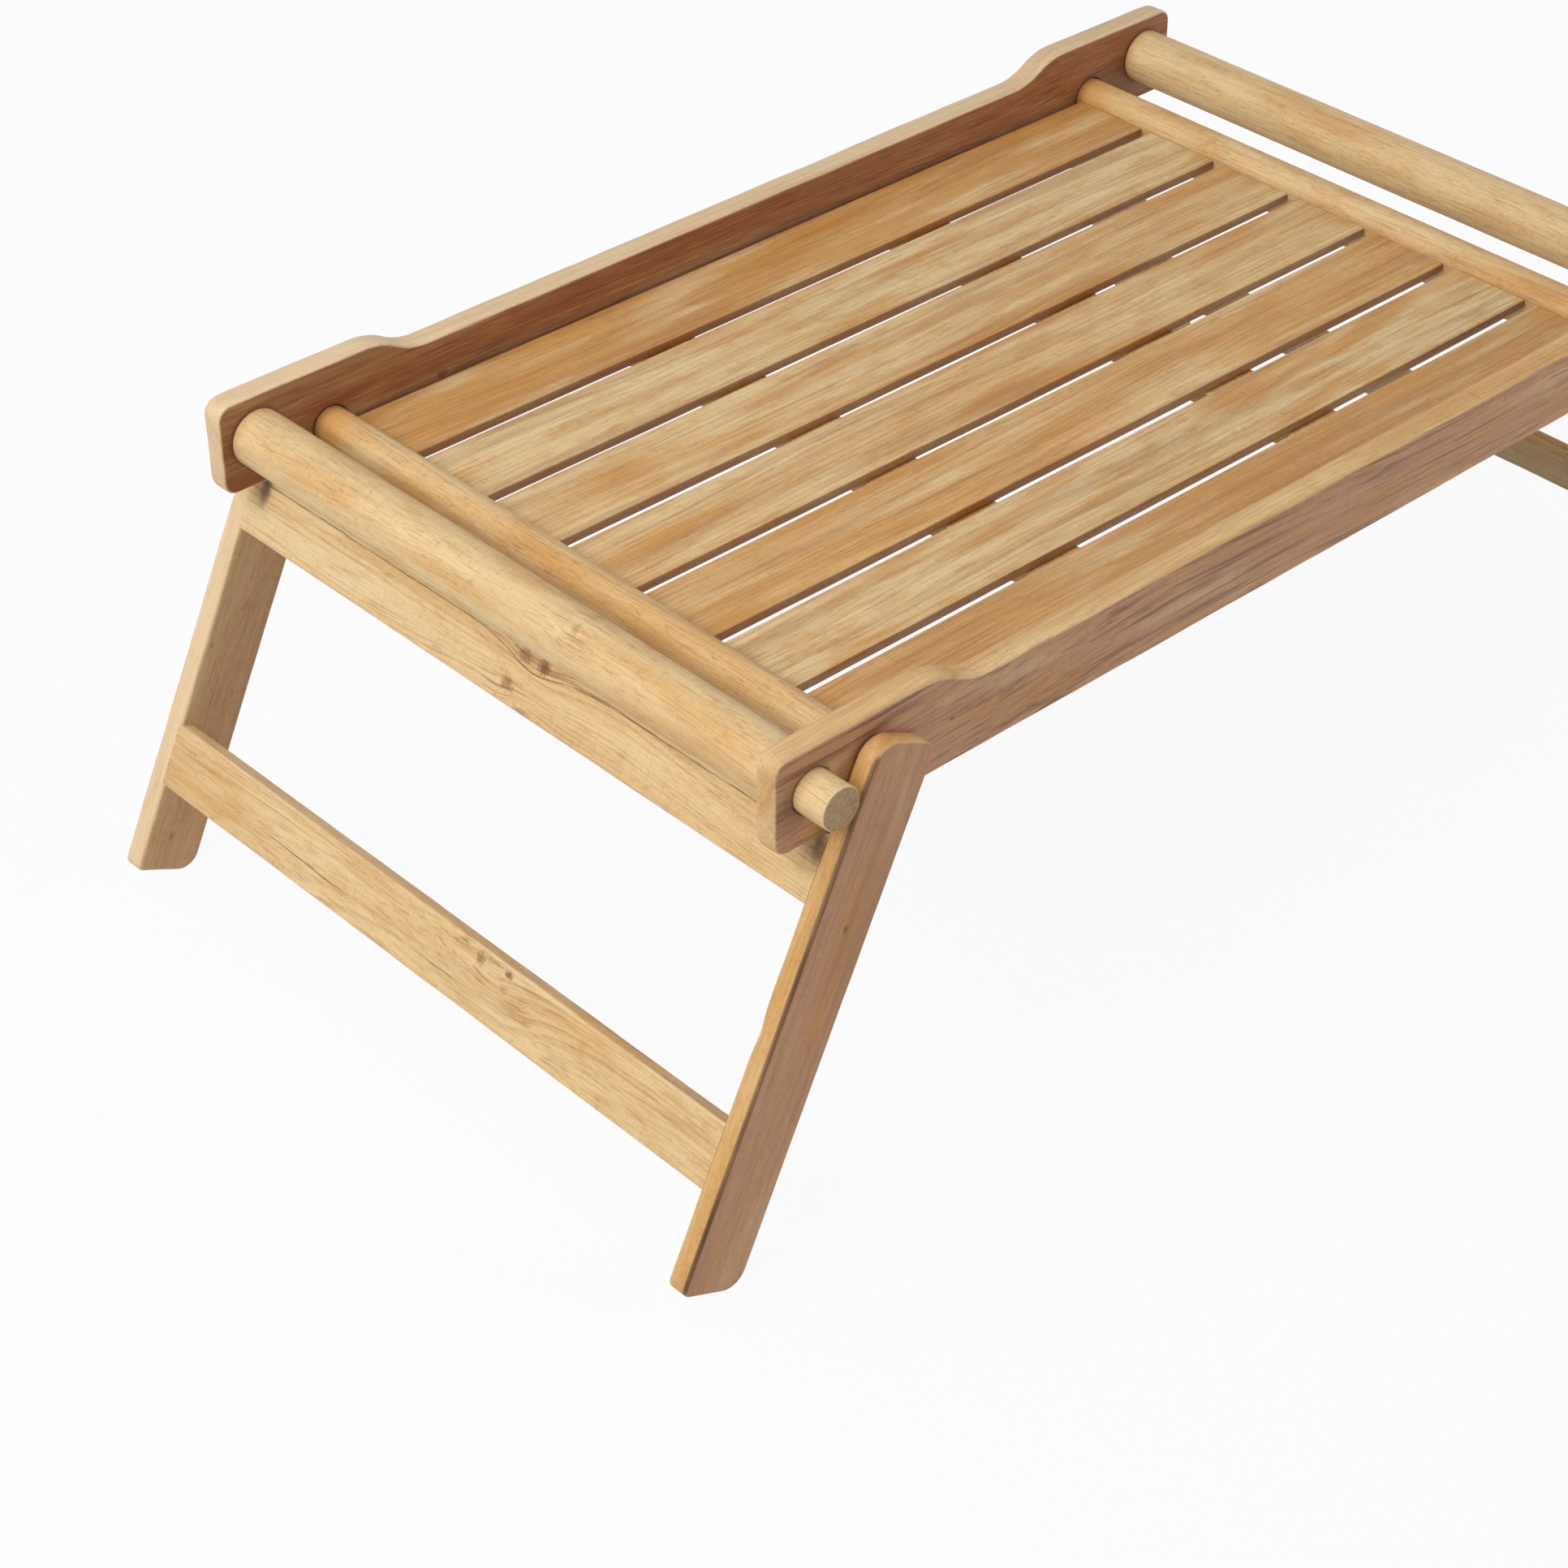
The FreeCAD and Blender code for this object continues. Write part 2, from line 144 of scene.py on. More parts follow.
class TrayBoardSettings(bpy.types.PropertyGroup):
    leg_brow: length("Leg top in front", "Rounding of a leg's front corner at the top", 11)
    leg_nape: length("Leg top behind", "Rounding of a leg's back corner at the top", 7)
    foot_front: length("Foot front", "Rounding of a foot's front corner", 4)
    foot_back: length("Foot back", "Rounding of a foot's back corner", 9)
    outer_edge: length("Outer edge", "Rounding over of a leg's edges on the outside", 1)
    inner_edge: length("Inner edge", "Rounding over of a leg's edges on the inside", 2)
    edge: length("Board edge", "Rounding over of crossrails and battens", 1.2)
    tenon: length("Tenon", "How far crossrails and battens reach into their joints", 6)
    wander: share("Wander", "How much the hand-sanded edges vary in width", 0.3)
    chip: length("Chip", "Depth of the chip in the front left leg", 1.6)


class TraySlatSettings(bpy.types.PropertyGroup):
    edge: length("Edge radius", "Softening of the slats' long edges", 0.8)
    station: length("Station", "Spacing of the sections along a slat", 6)
    unevenness: length("Unevenness", "How far a slat strays from flat", 0.12)
    bow: length("Bow", "How far a slat's sides stray from straight", 0.9)
    swell: length("Swell", "How much wider the seasoned slats are than drawn", 0.4)
    seed: IntProperty(name="Seed", description="Which uneven slats are made", default=3, min=0)


class TrayScrewSettings(bpy.types.PropertyGroup):
    head: length("Head", "Diameter of a countersunk head", 5.8)
    head_height: length("Head height", "Height of the countersunk head", 1.5)
    shank: length("Shank", "Diameter of the shank", 2.8)
    slot_length: length("Recess length", "Length of each arm pair of the cross recess", 3.1)
    slot_width: length("Recess width", "Width of the arms of the cross recess", 0.7)
    slot_depth: length("Recess depth", "Depth of the cross recess", 1)


class TrayWoodSettings(bpy.types.PropertyGroup):
    sapwood: colour("Sapwood", "Palest wood", 231, 205, 155)
    honey: colour("Honey", "Middle tone of the wood", 211, 161, 94)
    ochre: colour("Ochre", "Deep yellow patches", 200, 142, 66)
    rosy: colour("Rosy heartwood", "Pinkish tan wood near the tree's heart", 200, 150, 114)
    blush: colour("Blush", "Light lines in the rosy heartwood", 220, 177, 144)
    heartwood: colour("Heartwood", "Darker wood between the pale bands", 155, 98, 54)
    russet: colour("Russet", "Reddish brown heartwood and scorched ends", 140, 78, 42)
    streak: colour("Streak", "Purplish brown streaks of the heartwood", 120, 80, 62)
    # Painted shade: the soft dark patches where pieces meet are painted in this colour.
    painted_shade: colour("Umber", "Soft dark shades where pieces have rubbed together", 104, 62, 38)
    # Besides real dark lines, this colour paints the rings of painted shade round dowels and the
    # painted shade along a leg's edge.
    ink: colour("Ink line", "Thin dark lines along the grain and in knots", 84, 42, 18)
    pore: colour("Pore", "Open pores", 128, 78, 42)
    end_grain: colour("End grain", "Wood cut across the grain", 178, 144, 113)
    # Partly rubbing and partly painted light: paints rounded edges paler as painted highlight and
    # the walls of boards paler as painted light.
    rubbed_and_lit: colour("Rubbed edge", "Edges that hands and sanding have paled", 232, 208, 176)
    roughness: share("Roughness", "How dull the oiled surface is", 0.5)
    relief: length("Relief", "Depth of pores and fibres", 0.09)


class TrayStudioSettings(bpy.types.PropertyGroup):
    camera_place: FloatVectorProperty(
        name="Camera place", description="Where the camera stands", subtype="TRANSLATION",
        unit="LENGTH", default=(-1.02458, -0.97198, 1.01835))
    camera_turn: FloatVectorProperty(
        name="Camera turn", description="How the camera is turned", subtype="EULER",
        unit="ROTATION", default=(math.radians(53.62), 0, math.radians(-42.76)))
    focal_length: FloatProperty(name="Focal length", description="Focal length in millimetres",
                                default=83.695, min=1)
    key_power: FloatProperty(name="Key light", description="Power of the large soft lamp",
                             default=43, min=0, unit="POWER")
    top_power: FloatProperty(name="Top light", description="Power of the overhead soft lamp",
                             default=12, min=0, unit="POWER")
    side_power: FloatProperty(name="Side light", description="Power of the low lamp in front",
                              default=18, min=0, unit="POWER")
    sky: share("Sky", "Strength of the even light all round", 0.16)
    floor_size: length("Floor", "Length of the floor's sides", 9000)
    floor: colour("Floor colour", "Colour of the pale floor", 216, 214, 211)
    floor_glow: share("Floor white", "How far the floor shows as white to the camera", 0.94)


SETTINGS = {
    "tray_rails": TrayRailSettings,
    "tray_dowels": TrayDowelSettings,
    "tray_boards": TrayBoardSettings,
    "tray_slats": TraySlatSettings,
    "tray_screws": TrayScrewSettings,
    "tray_wood": TrayWoodSettings,
    "tray_studio": TrayStudioSettings,
}


# ---------------------------------------------------------------- node trees

class Wire:
    """A node's output used as a number: each operator adds the Math node that it stands for."""

    def __init__(self, graph, socket):
        self.graph = graph
        self.socket = socket

    def output(self, name):
        """Another output of the same node."""
        return Wire(self.graph, self.socket.node.outputs[name])

    def math(self, operation, other=0):
        return self.graph.math(operation, self, other)

    def __add__(self, other):
        return self.math("ADD", other)

    def __sub__(self, other):
        return self.math("SUBTRACT", other)

    def __rsub__(self, other):
        return self.graph.math("SUBTRACT", other, self)

    def __mul__(self, other):
        return self.math("MULTIPLY", other)

    def __truediv__(self, other):
        return self.math("DIVIDE", other)

    def __pow__(self, other):
        return self.math("POWER", other)

    def __neg__(self):
        return self * -1

    __radd__ = __add__
    __rmul__ = __mul__


class Graph:
    """A node tree and the few ways in which nodes are added to it."""

    def __init__(self, tree):
        self.tree = tree
        tree.nodes.clear()

    def node(self, kind, settings=None, inputs=None, output=0):
        """Add a node: its settings first, then the values or links of its sockets."""
        node = self.tree.nodes.new(kind)
        for name, value in (settings or {}).items():
            if name == "stops":
                set_stops(node.color_ramp.elements, value)
            else:
                setattr(node, name, value)
        for name, value in (inputs or {}).items():
            if isinstance(value, Wire):
                self.tree.links.new(value.socket, node.inputs[name])
            else:
                node.inputs[name].default_value = value
        return Wire(self, node.outputs[output]) if len(node.outputs) else node

    def math(self, operation, first, second=0):
        return self.node("ShaderNodeMath", {"operation": operation}, {0: first, 1: second})

    def vector(self, operation, first, second=(0, 0, 0)):
        return self.node("ShaderNodeVectorMath", {"operation": operation}, {0: first, 1: second})

    def scaled(self, vector, factor):
        return self.node("ShaderNodeVectorMath", {"operation": "SCALE"},
                         {0: vector, "Scale": factor})

    def joined(self, x, y, z):
        return self.node("ShaderNodeCombineXYZ", None, {0: x, 1: y, 2: z})

    def split(self, vector):
        parts = self.node("ShaderNodeSeparateXYZ", None, {0: vector})
        return parts, parts.output("Y"), parts.output("Z")

    def noise(self, vector, detail=0, roughness=0.5, output="Fac"):
        return self.node("ShaderNodeTexNoise", None,
                         {"Vector": vector, "Scale": 1, "Detail": detail, "Roughness": roughness},
                         output)

    def between(self, value, low, high, start=0, end=1):
        """Smooth rise from start to end while the value goes from low to high."""
        return self.node("ShaderNodeMapRange", {"interpolation_type": "SMOOTHSTEP"},
                         {0: value, 1: low, 2: high, 3: start, 4: end})

    def ramp(self, value, stops, interpolation="LINEAR"):
        ramp = self.node("ShaderNodeValToRGB", {"stops": stops}, {0: value})
        ramp.socket.node.color_ramp.interpolation = interpolation
        return ramp

    def mix(self, factor, first, second, blend="MIX"):
        """Blend two colours."""
        return self.node("ShaderNodeMix", {"data_type": "RGBA", "blend_type": blend},
                         {0: factor, 6: first, 7: second}, 2)


def new_material(name):
    """New material, and the graph in which its nodes are made."""
    material = bpy.data.materials.new(name)
    material.use_nodes = True
    return material, Graph(material.node_tree)


def set_stops(elements, stops):
    """Give a ramp its stops, each a place and a grey level or colour."""
    while len(elements) < len(stops):
        elements.new(1)
    for element, (place, tone) in zip(elements, stops):
        element.position = place
        element.color = (tone, tone, tone, 1) if isinstance(tone, (int, float)) else (*tone, 1)


# ---------------------------------------------------------------- wood

class Timber(NamedTuple):
    """How one board was cut from its tree. Sizes are in millimetres, in the board's own axes.

    Those axes are grain, across and, at right angles to both, through; middle is the board's
    centre. pith is where the tree's centre lies across and through the board, and heart is the
    distance from it at which pinkish heartwood starts and has fully given way to sapwood.
    tone is the least and most honey mixed into the sapwood, russet is the share of reddish
    heartwood in the whole board, and brown, streaks, strands, fibres, lines, rings, mottle and
    flecks say how strongly each kind of figure shows. Marks on the board are:
    knots, as (along, across, radius);
    stains, ragged, and shades, soft patches of painted shade where pieces meet, as (along,
    across, half length, half width, darkness);
    veins, dark lines that dip as a hollow curve, as (across, depth of the dip, along at its
    middle, its half length, half width of the line, along where it starts, along where it ends);
    rims, rings of painted shade round dowels, as (along, across, radius where through is
    positive, radius where it is negative, darkness);
    arris, a dark line along an edge, partly painted shade of its rounding and partly dark
    grain, as (across, through, half width);
    scorch, where along the board a darker end starts and is fullest, and how dark it is; on
    the handles it is painted shade where they meet the back rail.
    contrast names the colours of the light and the dark lines in the figure, cream is how far
    the walls all round the board are painted paler than its sapwood, as painted light, and
    sides how russet its long sides are painted, as painted shade.
    """
    grain: Vector
    across: Vector
    middle: Vector
    pith: tuple
    seed: int
    tone: tuple = (0.1, 0.7)
    contrast: tuple = ("sapwood", "heartwood")
    cream: float = 0
    sides: float = 0
    heart: tuple = ()
    russet: float = 0
    brown: float = 0.2
    streaks: float = 0.25
    strands: float = 0.4
    fibres: float = 0.42
    lines: float = 0.3
    rings: float = 0.3
    ring_width: float = 2.4
    mottle: float = 0.4
    flecks: float = 0.2
    knots: tuple = ()
    stains: tuple = ()
    shades: tuple = ()
    veins: tuple = ()
    shade_rings: tuple = ()
    arris: tuple = ()
    dark_end: tuple = ()
    board_pitch: float = 0
    board_tones: tuple = ()

    def turn(self):
        """Rotation from the tray's axes to grain, across and through."""
        return Matrix((self.grain, self.across, self.grain.cross(self.across)))


def rgba(colour_value):
    return (*colour_value, 1)


def tint(name):
    """Colour of that name from the wood's settings."""
    return rgba(getattr(bpy.context.scene.tray_wood, name))


def grain_noise(graph, place, along, across, detail, roughness=0.5, output="Fac"):
    """Noise whose features are that many millimetres long and wide."""
    stretched = graph.vector("MULTIPLY", place, (1 / along, 1 / across, 1 / across))
    return graph.noise(stretched, detail, roughness, output)


def far(first, second):
    """Distance from the origin of a place with these two coordinates."""
    return (first * first + second * second) ** 0.5


def bell(value, width):
    """Bell curve: 1 at zero, and 1/e where the value is the width."""
    return (-((value / width) ** 2)).math("EXPONENT")


def board_place(graph, timber):
    """Place in the board's own axes in millimetres, and the board's number in a row of boards."""
    spot = graph.node("ShaderNodeTexCoord", output="Object")
    turn = timber.turn()
    place = graph.node("ShaderNodeMapping", {"vector_type": "POINT"}, {
        "Vector": spot,
        "Location": -(turn @ timber.middle) / MM,
        "Rotation": turn.to_euler(),
        "Scale": (1 / MM, 1 / MM, 1 / MM),
    })
    if not timber.board_pitch:
        return place, None
    number = graph.node("ShaderNodeAttribute", {"attribute_name": "board"}, output="Fac")
    shift = graph.joined(number * 287, number * -timber.board_pitch, 0)
    return graph.vector("ADD", place, shift), number


def shifted_by_noise(graph, place, patch, along, across, distance, detail):
    """Place moved by up to half a distance in smooth waves of the given length and width."""
    wave = grain_noise(graph, patch, along, across, detail, output="Color")
    wave = graph.vector("SUBTRACT", wave, (0.5, 0.5, 0.5))
    return graph.vector("ADD", place, graph.scaled(wave, distance))


def darkest(marks):
    """Strongest of several marks at each place."""
    total = marks[0]
    for mark in marks[1:]:
        total = total.math("MAXIMUM", mark)
    return total


def bend_round_knots(graph, timber, place, sideways):
    """Push the grain aside at each knot. Returns the bent place across, and the knots' nearness."""
    along, across, _ = graph.split(place)
    halos = []
    for knot_along, knot_across, radius in timber.knots:
        off_along = (along - knot_along) * 0.5
        off_across = across - knot_across
        distance = far(off_along, off_across)
        sideways = sideways - off_across * bell(distance, radius * 2.4) * 0.85
        halos.append(graph.between(distance, radius * 0.8, radius * 3.4, 1, 0))
    return sideways, darkest(halos) if halos else None


def patch_mark(graph, spots, place, raggedness):
    """Strength of dark patches, each (along, across, half length, half width, darkness)."""
    along, across, _ = graph.split(place)
    ragged = (grain_noise(graph, place, 1.1, 3, 3, 0.65) - 0.5) * raggedness
    marks = []
    for at_along, at_across, half_length, half_width, darkness in spots:
        distance = far((along - at_along) / half_length, (across - at_across) / half_width)
        marks.append(graph.between(distance + ragged, 0.2, 1, darkness, 0))
    return darkest(marks)


def vein_mark(graph, timber, place, patch):
    """Strength of the dark lines drawn along the board, a little unsteady."""
    along, across, _ = graph.split(shifted_by_noise(graph, place, patch, 22, 8, 1.6, 3))
    marks = []
    for at_across, dip, middle, half_length, half_width, start, end in timber.veins:
        sag = bell(along - middle, half_length) * dip
        line = bell(across + sag - at_across, half_width)
        fade = graph.between(along, start - 14, start) * graph.between(along, end, end + 14, 1, 0)
        marks.append(line * fade)
    return darkest(marks)


def shade_ring_mark(graph, timber, place):
    """Strength of the rings of painted shade where dowels run through the board."""
    along, across, through = graph.split(place)
    marks = []
    for at_along, at_across, near_radius, far_radius, darkness in timber.shade_rings:
        radius = graph.between(through, -1, 1, far_radius, near_radius)
        distance = far(along - at_along, across - at_across) - radius
        marks.append(graph.between(distance, 0.2, 2.2, darkness, 0))
    return darkest(marks)


class Figure:
    """The patterns in a board, as wires: where they lie, and how strongly each one shows."""

    def __init__(self, graph, timber):
        self.graph = graph
        self.timber = timber
        self.place, self.number = board_place(graph, timber)
        seed = timber.seed
        self.patch = graph.vector("ADD", self.place, (seed * 97.3, seed * 31.9, seed * 57.1))
        if self.number is not None:
            apart = graph.joined(0, self.number * 71, self.number * 43)
            self.patch = graph.vector("ADD", self.patch, apart)
        self.normal = graph.node("ShaderNodeTexCoord", output="Normal")
        self.make_rings()
        self.make_fibres()
        self.find_surface()

    def make_rings(self):
        """Growth rings round the pith, which wanders along the tree and bends round knots."""
        graph, timber, seed = self.graph, self.timber, self.timber.seed
        bent = shifted_by_noise(graph, self.place, self.patch, 330, 60, 26, 1)
        bent = shifted_by_noise(graph, bent, self.patch, 62, 9, 1.7, 2)
        along, sideways, through = graph.split(bent)
        sideways, self.near_knot = bend_round_knots(graph, timber, self.place, sideways)
        self.flow = graph.vector("ADD", graph.joined(along, sideways, through),
                                 (0, seed * 41.3, 0))
        sideways = sideways - timber.pith[0]
        if self.number is not None:
            sideways = sideways + (self.number * 2.4 + seed).math("SINE") * 22
        self.radius = far(sideways, through - timber.pith[1])
        growth = self.radius / timber.ring_width
        late = graph.ramp(growth.math("FRACT"),
                          [(0, 0.0), (0.5, 0.06), (0.84, 0.7), (0.94, 1.0), (1, 0.0)])
        year = graph.noise(graph.joined(growth * 0.41, along / 900, seed), 1)
        self.late = late * graph.between(year, 0.36, 0.66, 0.05, 1)

        def in_rings(width, length_along, shift, detail, roughness=0.5):
            spot = graph.joined(self.radius / width, along / length_along, seed + shift)
            return graph.noise(spot, detail, roughness)

        self.band = in_rings(13, 420, 5, 2)
        self.brown = graph.between(in_rings(6, 190, 8, 2), 0.44, 0.7)
        self.lines = in_rings(0.8, 95, 17, 3, 0.6)

    def make_fibres(self):
        """Streaks and strands along the grain, fibres, open pores, blotches and flecks."""
        graph, flow, patch = self.graph, self.flow, self.patch
        self.streak = graph.between(grain_noise(graph, flow, 105, 2.1, 4, 0.66), 0.5, 0.66)
        self.strand = grain_noise(graph, flow, 46, 0.85, 3, 0.62)
        self.fibre = grain_noise(graph, patch, 13, 0.5, 3, 0.68)
        self.cloud = grain_noise(graph, patch, 26, 8, 3, 0.6)
        self.blotch = grain_noise(graph, patch, 105, 17, 2, 0.55)
        self.speckle = grain_noise(graph, patch, 3.5, 1.9, 3, 0.6)
        self.chatter = grain_noise(graph, patch, 1.5, 9, 2)
        fleck = grain_noise(graph, patch, 4.5, 0.9, 1)
        self.fleck = graph.between(fleck + self.cloud * 0.3, 0.77, 0.87)
        pores = grain_noise(graph, patch, 5.5, 0.3, 2, 0.6) + self.late * 0.03
        crowd = graph.between(self.band + self.cloud, 0.8, 1.2, 0.2, 1)
        self.pores = graph.between(pores, 0.55, 0.72) * crowd
        self.late = self.late * graph.between(self.fibre, 0.36, 0.58, 0.4, 1)

    def facing(self, direction):
        """How far the surface faces a direction or its opposite."""
        return self.graph.vector("DOT_PRODUCT", self.normal,
                                 tuple(direction)).output("Value").math("ABSOLUTE")

    def find_surface(self):
        """End grain, edges paled by hands, sanding and painted highlight, and what is not a wall
        painted pale as painted light.
        """
        graph = self.graph
        self.end_grain = graph.between(self.facing(self.timber.grain), 0.7, 0.96)
        # Paleness of rounded edges: rubbing, and painted highlight.
        wear = graph.node("ShaderNodeAttribute", {"attribute_name": "wear"}, output="Fac")
        self.rubbed_and_lit = wear * graph.between(self.cloud, 0.35, 0.6)
        # pale marks the walls all round a board, which are painted paler as painted light; deep is
        # everywhere else.
        self.pale = graph.node("ShaderNodeAttribute", {"attribute_name": "pale"}, output="Fac")
        self.deep = 1 - self.pale


# Each of these yields layers of paint from the lowest up, as (how much it covers, colour).

def broad_layers(figure):
    """The board's broad tones; the lowest layer is honey on sapwood."""
    graph, timber, cloud, blotch = figure.graph, figure.timber, figure.cloud, figure.blotch
    tone = graph.between(figure.band, 0.3, 0.7, *timber.tone)
    if figure.number is None:
        yield tone, tint("honey")
    else:
        tones = timber.board_tones
        stops = [(index / len(tones), board_tone) for index, board_tone in enumerate(tones)]
        own = graph.ramp((figure.number + 0.5) / len(tones), stops, "CONSTANT")
        yield tone * 0.4 + own * 0.75, tint("honey")
        yield graph.between(own, 0.85, 1), graph.mix(0.18, tint("honey"), tint("heartwood"))
    if timber.heart:
        yield graph.between(figure.radius, *timber.heart, 1, 0) * figure.deep, tint("rosy")
    yield graph.between(blotch, 0.48, 0.7, 0, timber.mottle), tint("ochre")
    yield graph.between(blotch, 0.3, 0.5, timber.mottle * 0.8, 0), tint("sapwood")
    yield graph.between(cloud, 0.45, 0.72, 0, timber.mottle * 0.8), tint("honey")
    if timber.russet:
        russet = graph.between(figure.band + cloud * 0.4, 0.5, 0.9, timber.russet, 1)
        yield russet * figure.deep, tint("russet")


def figure_layers(figure):
    """Rings, streaks, strands, lines, fibres and flecks."""
    graph, timber, late, strand = figure.graph, figure.timber, figure.late, figure.strand
    light, dark = (tint(name) for name in timber.contrast)
    if timber.heart or timber.russet:
        light = graph.mix(figure.deep, tint("sapwood"), light)
        dark = graph.mix(figure.deep, tint("heartwood"), dark)
    yield figure.brown * timber.brown, tint("heartwood")
    yield late * timber.rings, tint("heartwood")
    yield figure.streak * timber.streaks * (figure.deep * 0.8 + 0.2), tint("streak")
    for pattern, strength, dark_range, light_share, light_range in (
            (strand, timber.strands, (0.52, 0.7), 0.7, (0.3, 0.46)),
            (figure.lines, timber.lines, (0.54, 0.78), 0.6, (0.24, 0.44)),
            (figure.fibre, timber.fibres, (0.5, 0.74), 0.5, (0.25, 0.46))):
        yield graph.between(pattern, *dark_range, 0, strength), dark
        yield graph.between(pattern, *light_range, strength * light_share, 0), light
    yield graph.between(figure.chatter, 0.5, 0.75, 0, 0.24) * figure.band, tint("heartwood")
    yield figure.fleck * timber.flecks, tint("pore")
    if figure.near_knot is not None:
        for pattern, low, high in ((late, 0.3, 0.9), (strand, 0.5, 0.66)):
            yield figure.near_knot * graph.between(pattern, low, high, 0, 0.5), tint("heartwood")


def mark_layers(figure):
    """Painted shade where pieces meet, stains, dark veins, darker ends, and long sides painted
    russet as painted shade.
    """
    graph, timber, place, fibre = figure.graph, figure.timber, figure.place, figure.fibre
    # Soft patches of painted shade where pieces meet.
    if timber.shades:
        yield patch_mark(graph, timber.shades, place, 0.3), tint("painted_shade")
    if timber.stains:
        stain = graph.mix(graph.between(fibre, 0.4, 0.6), tint("russet"), tint("ink"))
        yield patch_mark(graph, timber.stains, place, 1.6), stain
    if timber.veins:
        vein = vein_mark(graph, timber, place, figure.patch)
        yield vein * graph.between(fibre, 0.34, 0.56, 0.3, 0.9), tint("ink")
    # Darker towards one end; on the handles this is painted shade where they meet the back rail.
    if timber.dark_end:
        start, end, darkness = timber.dark_end
        along, _, _ = graph.split(place)
        dark_end_colour = graph.mix(graph.between(along, end - 6, end + 1), tint("ochre"), tint("russet"))
        yield graph.between(along, start, end, 0, darkness), dark_end_colour
    # Painted shade: long sides that face the gaps are painted russet.
    if timber.sides:
        side = graph.between(figure.facing(timber.across), 0.6, 0.95, 0, timber.sides)
        yield side, tint("russet")


def surface_layers(figure):
    """Pores, end grain, paler edges and walls from rubbing and painted light, rings of painted
    shade round dowels and a dark edge line that is partly painted shade.
    """
    graph, timber, speckle = figure.graph, figure.timber, figure.speckle
    yield figure.pores * 0.34, tint("pore")
    cut = graph.mix(graph.between(speckle, 0.4, 0.62), tint("end_grain"), tint("streak"))
    cut_share = figure.end_grain * graph.between(speckle, 0.3, 0.7, 0.8, 0.5)
    yield cut_share * (figure.deep * 0.88 + 0.12), cut
    # Paler rounded edges (rubbing and painted highlight) and walls painted paler as painted light.
    yield (figure.rubbed_and_lit * 0.6).math("MAXIMUM", figure.pale * timber.cream), tint("rubbed_and_lit")
    # Rings of painted shade round the dowels.
    if timber.shade_rings:
        yield shade_ring_mark(graph, timber, figure.place), tint("ink")
    # A dark line along an edge: painted shade of its rounding, with dark grain.
    if timber.arris:
        at_across, at_through, half_width = timber.arris
        _, across, through = graph.split(figure.place)
        distance = far(across - at_across, through - at_through)
        edge = graph.between(distance / half_width, 0.4, 1, 0.95, 0)
        yield edge * graph.between(figure.blotch, 0.3, 0.55, 0.5, 1), tint("ink")


def wood(name, timber):
    """Solid wood that is the same all through a board: rings, streaks, knots, fibres and pores."""
    look = bpy.context.scene.tray_wood
    material, graph = new_material(name)
    figure = Figure(graph, timber)
    paint = tint("sapwood")
    for layers_of in (broad_layers, figure_layers, mark_layers, surface_layers):
        for cover, colour_on_top in layers_of(figure):
            paint = graph.mix(cover, paint, colour_on_top)
    late, pores = figure.late, figure.pores
    roughness = (pores * 0.14 + figure.end_grain * 0.16 - late * 0.05 - figure.rubbed_and_lit * 0.05
                 + look.roughness)
    height = late * 0.3 - pores - figure.fibre * 0.5 - figure.strand * 0.3
    bump = graph.node("ShaderNodeBump", None,
                      {"Strength": 0.5, "Distance": look.relief, "Height": height})
    surface = graph.node("ShaderNodeBsdfPrincipled", None, {
        "Base Color": paint, "Roughness": roughness, "Normal": bump, "Specular IOR Level": 0.4,
    })
    graph.node("ShaderNodeOutputMaterial", None, {"Surface": surface})
    return material


ZINC = linear(205, 200, 188)
DULL_ZINC = linear(160, 154, 138)


def steel():
    """Zinc-plated steel of the screws, dulled in patches."""
    material, graph = new_material("zinc_plated_steel")
    spot = graph.node("ShaderNodeTexCoord", output="Object")
    patches = graph.noise(graph.scaled(spot, 900), 3, 0.6)
    surface = graph.node("ShaderNodeBsdfPrincipled", None, {
        "Base Color": graph.mix(graph.between(patches, 0.35, 0.7), rgba(ZINC), rgba(DULL_ZINC)),
        "Metallic": 1, "Roughness": graph.between(patches, 0.3, 0.7, 0.28, 0.5),
    })
    graph.node("ShaderNodeOutputMaterial", None, {"Surface": surface})
    return material


# ---------------------------------------------------------------- meshes

ARC_STEP = 1.5 * MM  # between points of an arc
ROUND_STEPS = 5  # faces across a rounded edge
STATION = 5 * MM  # between sections of a board or dowel
SUPPORT = 1.2 * MM  # from a rounded edge to the next row of points
DEEPEST_ROW = 2.4  # a board's thickness over how far in that row lies at most
WIDEST_STRAY = 2.4 * MM  # widest edge that is taken into how far edges wander
EDGE_WAVE = 26 * MM  # how soon an edge wanders to and fro
LIT_WALL_REACH = 4  # how soon a rounded edge takes the paleness painted on the walls as painted light
DOWEL_WAVE = 30 * MM
DOWEL_STRAY = 0.07 * MM
SEGMENTS = {"bore": 64, "handle": 72, "axle": 56, "screw head": 28, "screw shank": 16}
BORE_EASE = 0.6 * MM  # easing of a bore's mouth
OVERCUT = 1 * MM  # how far a cutter stands out of the wood
EDGE_RUB_AND_HIGHLIGHT = 0.3  # how far an edge is paled, partly by rubbing and partly as painted highlight
SHARP = math.radians(38)


def wander(point, wavelength, seed):
    """Smooth random number from -1 to 1 at a place."""
    return noise.noise(Vector(point) / wavelength + Vector((seed * 13.7, seed * 5.3, seed * 9.1)))


def quarter_turns():
    """Angles of the points across a rounded edge."""
    return [math.pi / 2 * step / ROUND_STEPS for step in range(ROUND_STEPS + 1)]


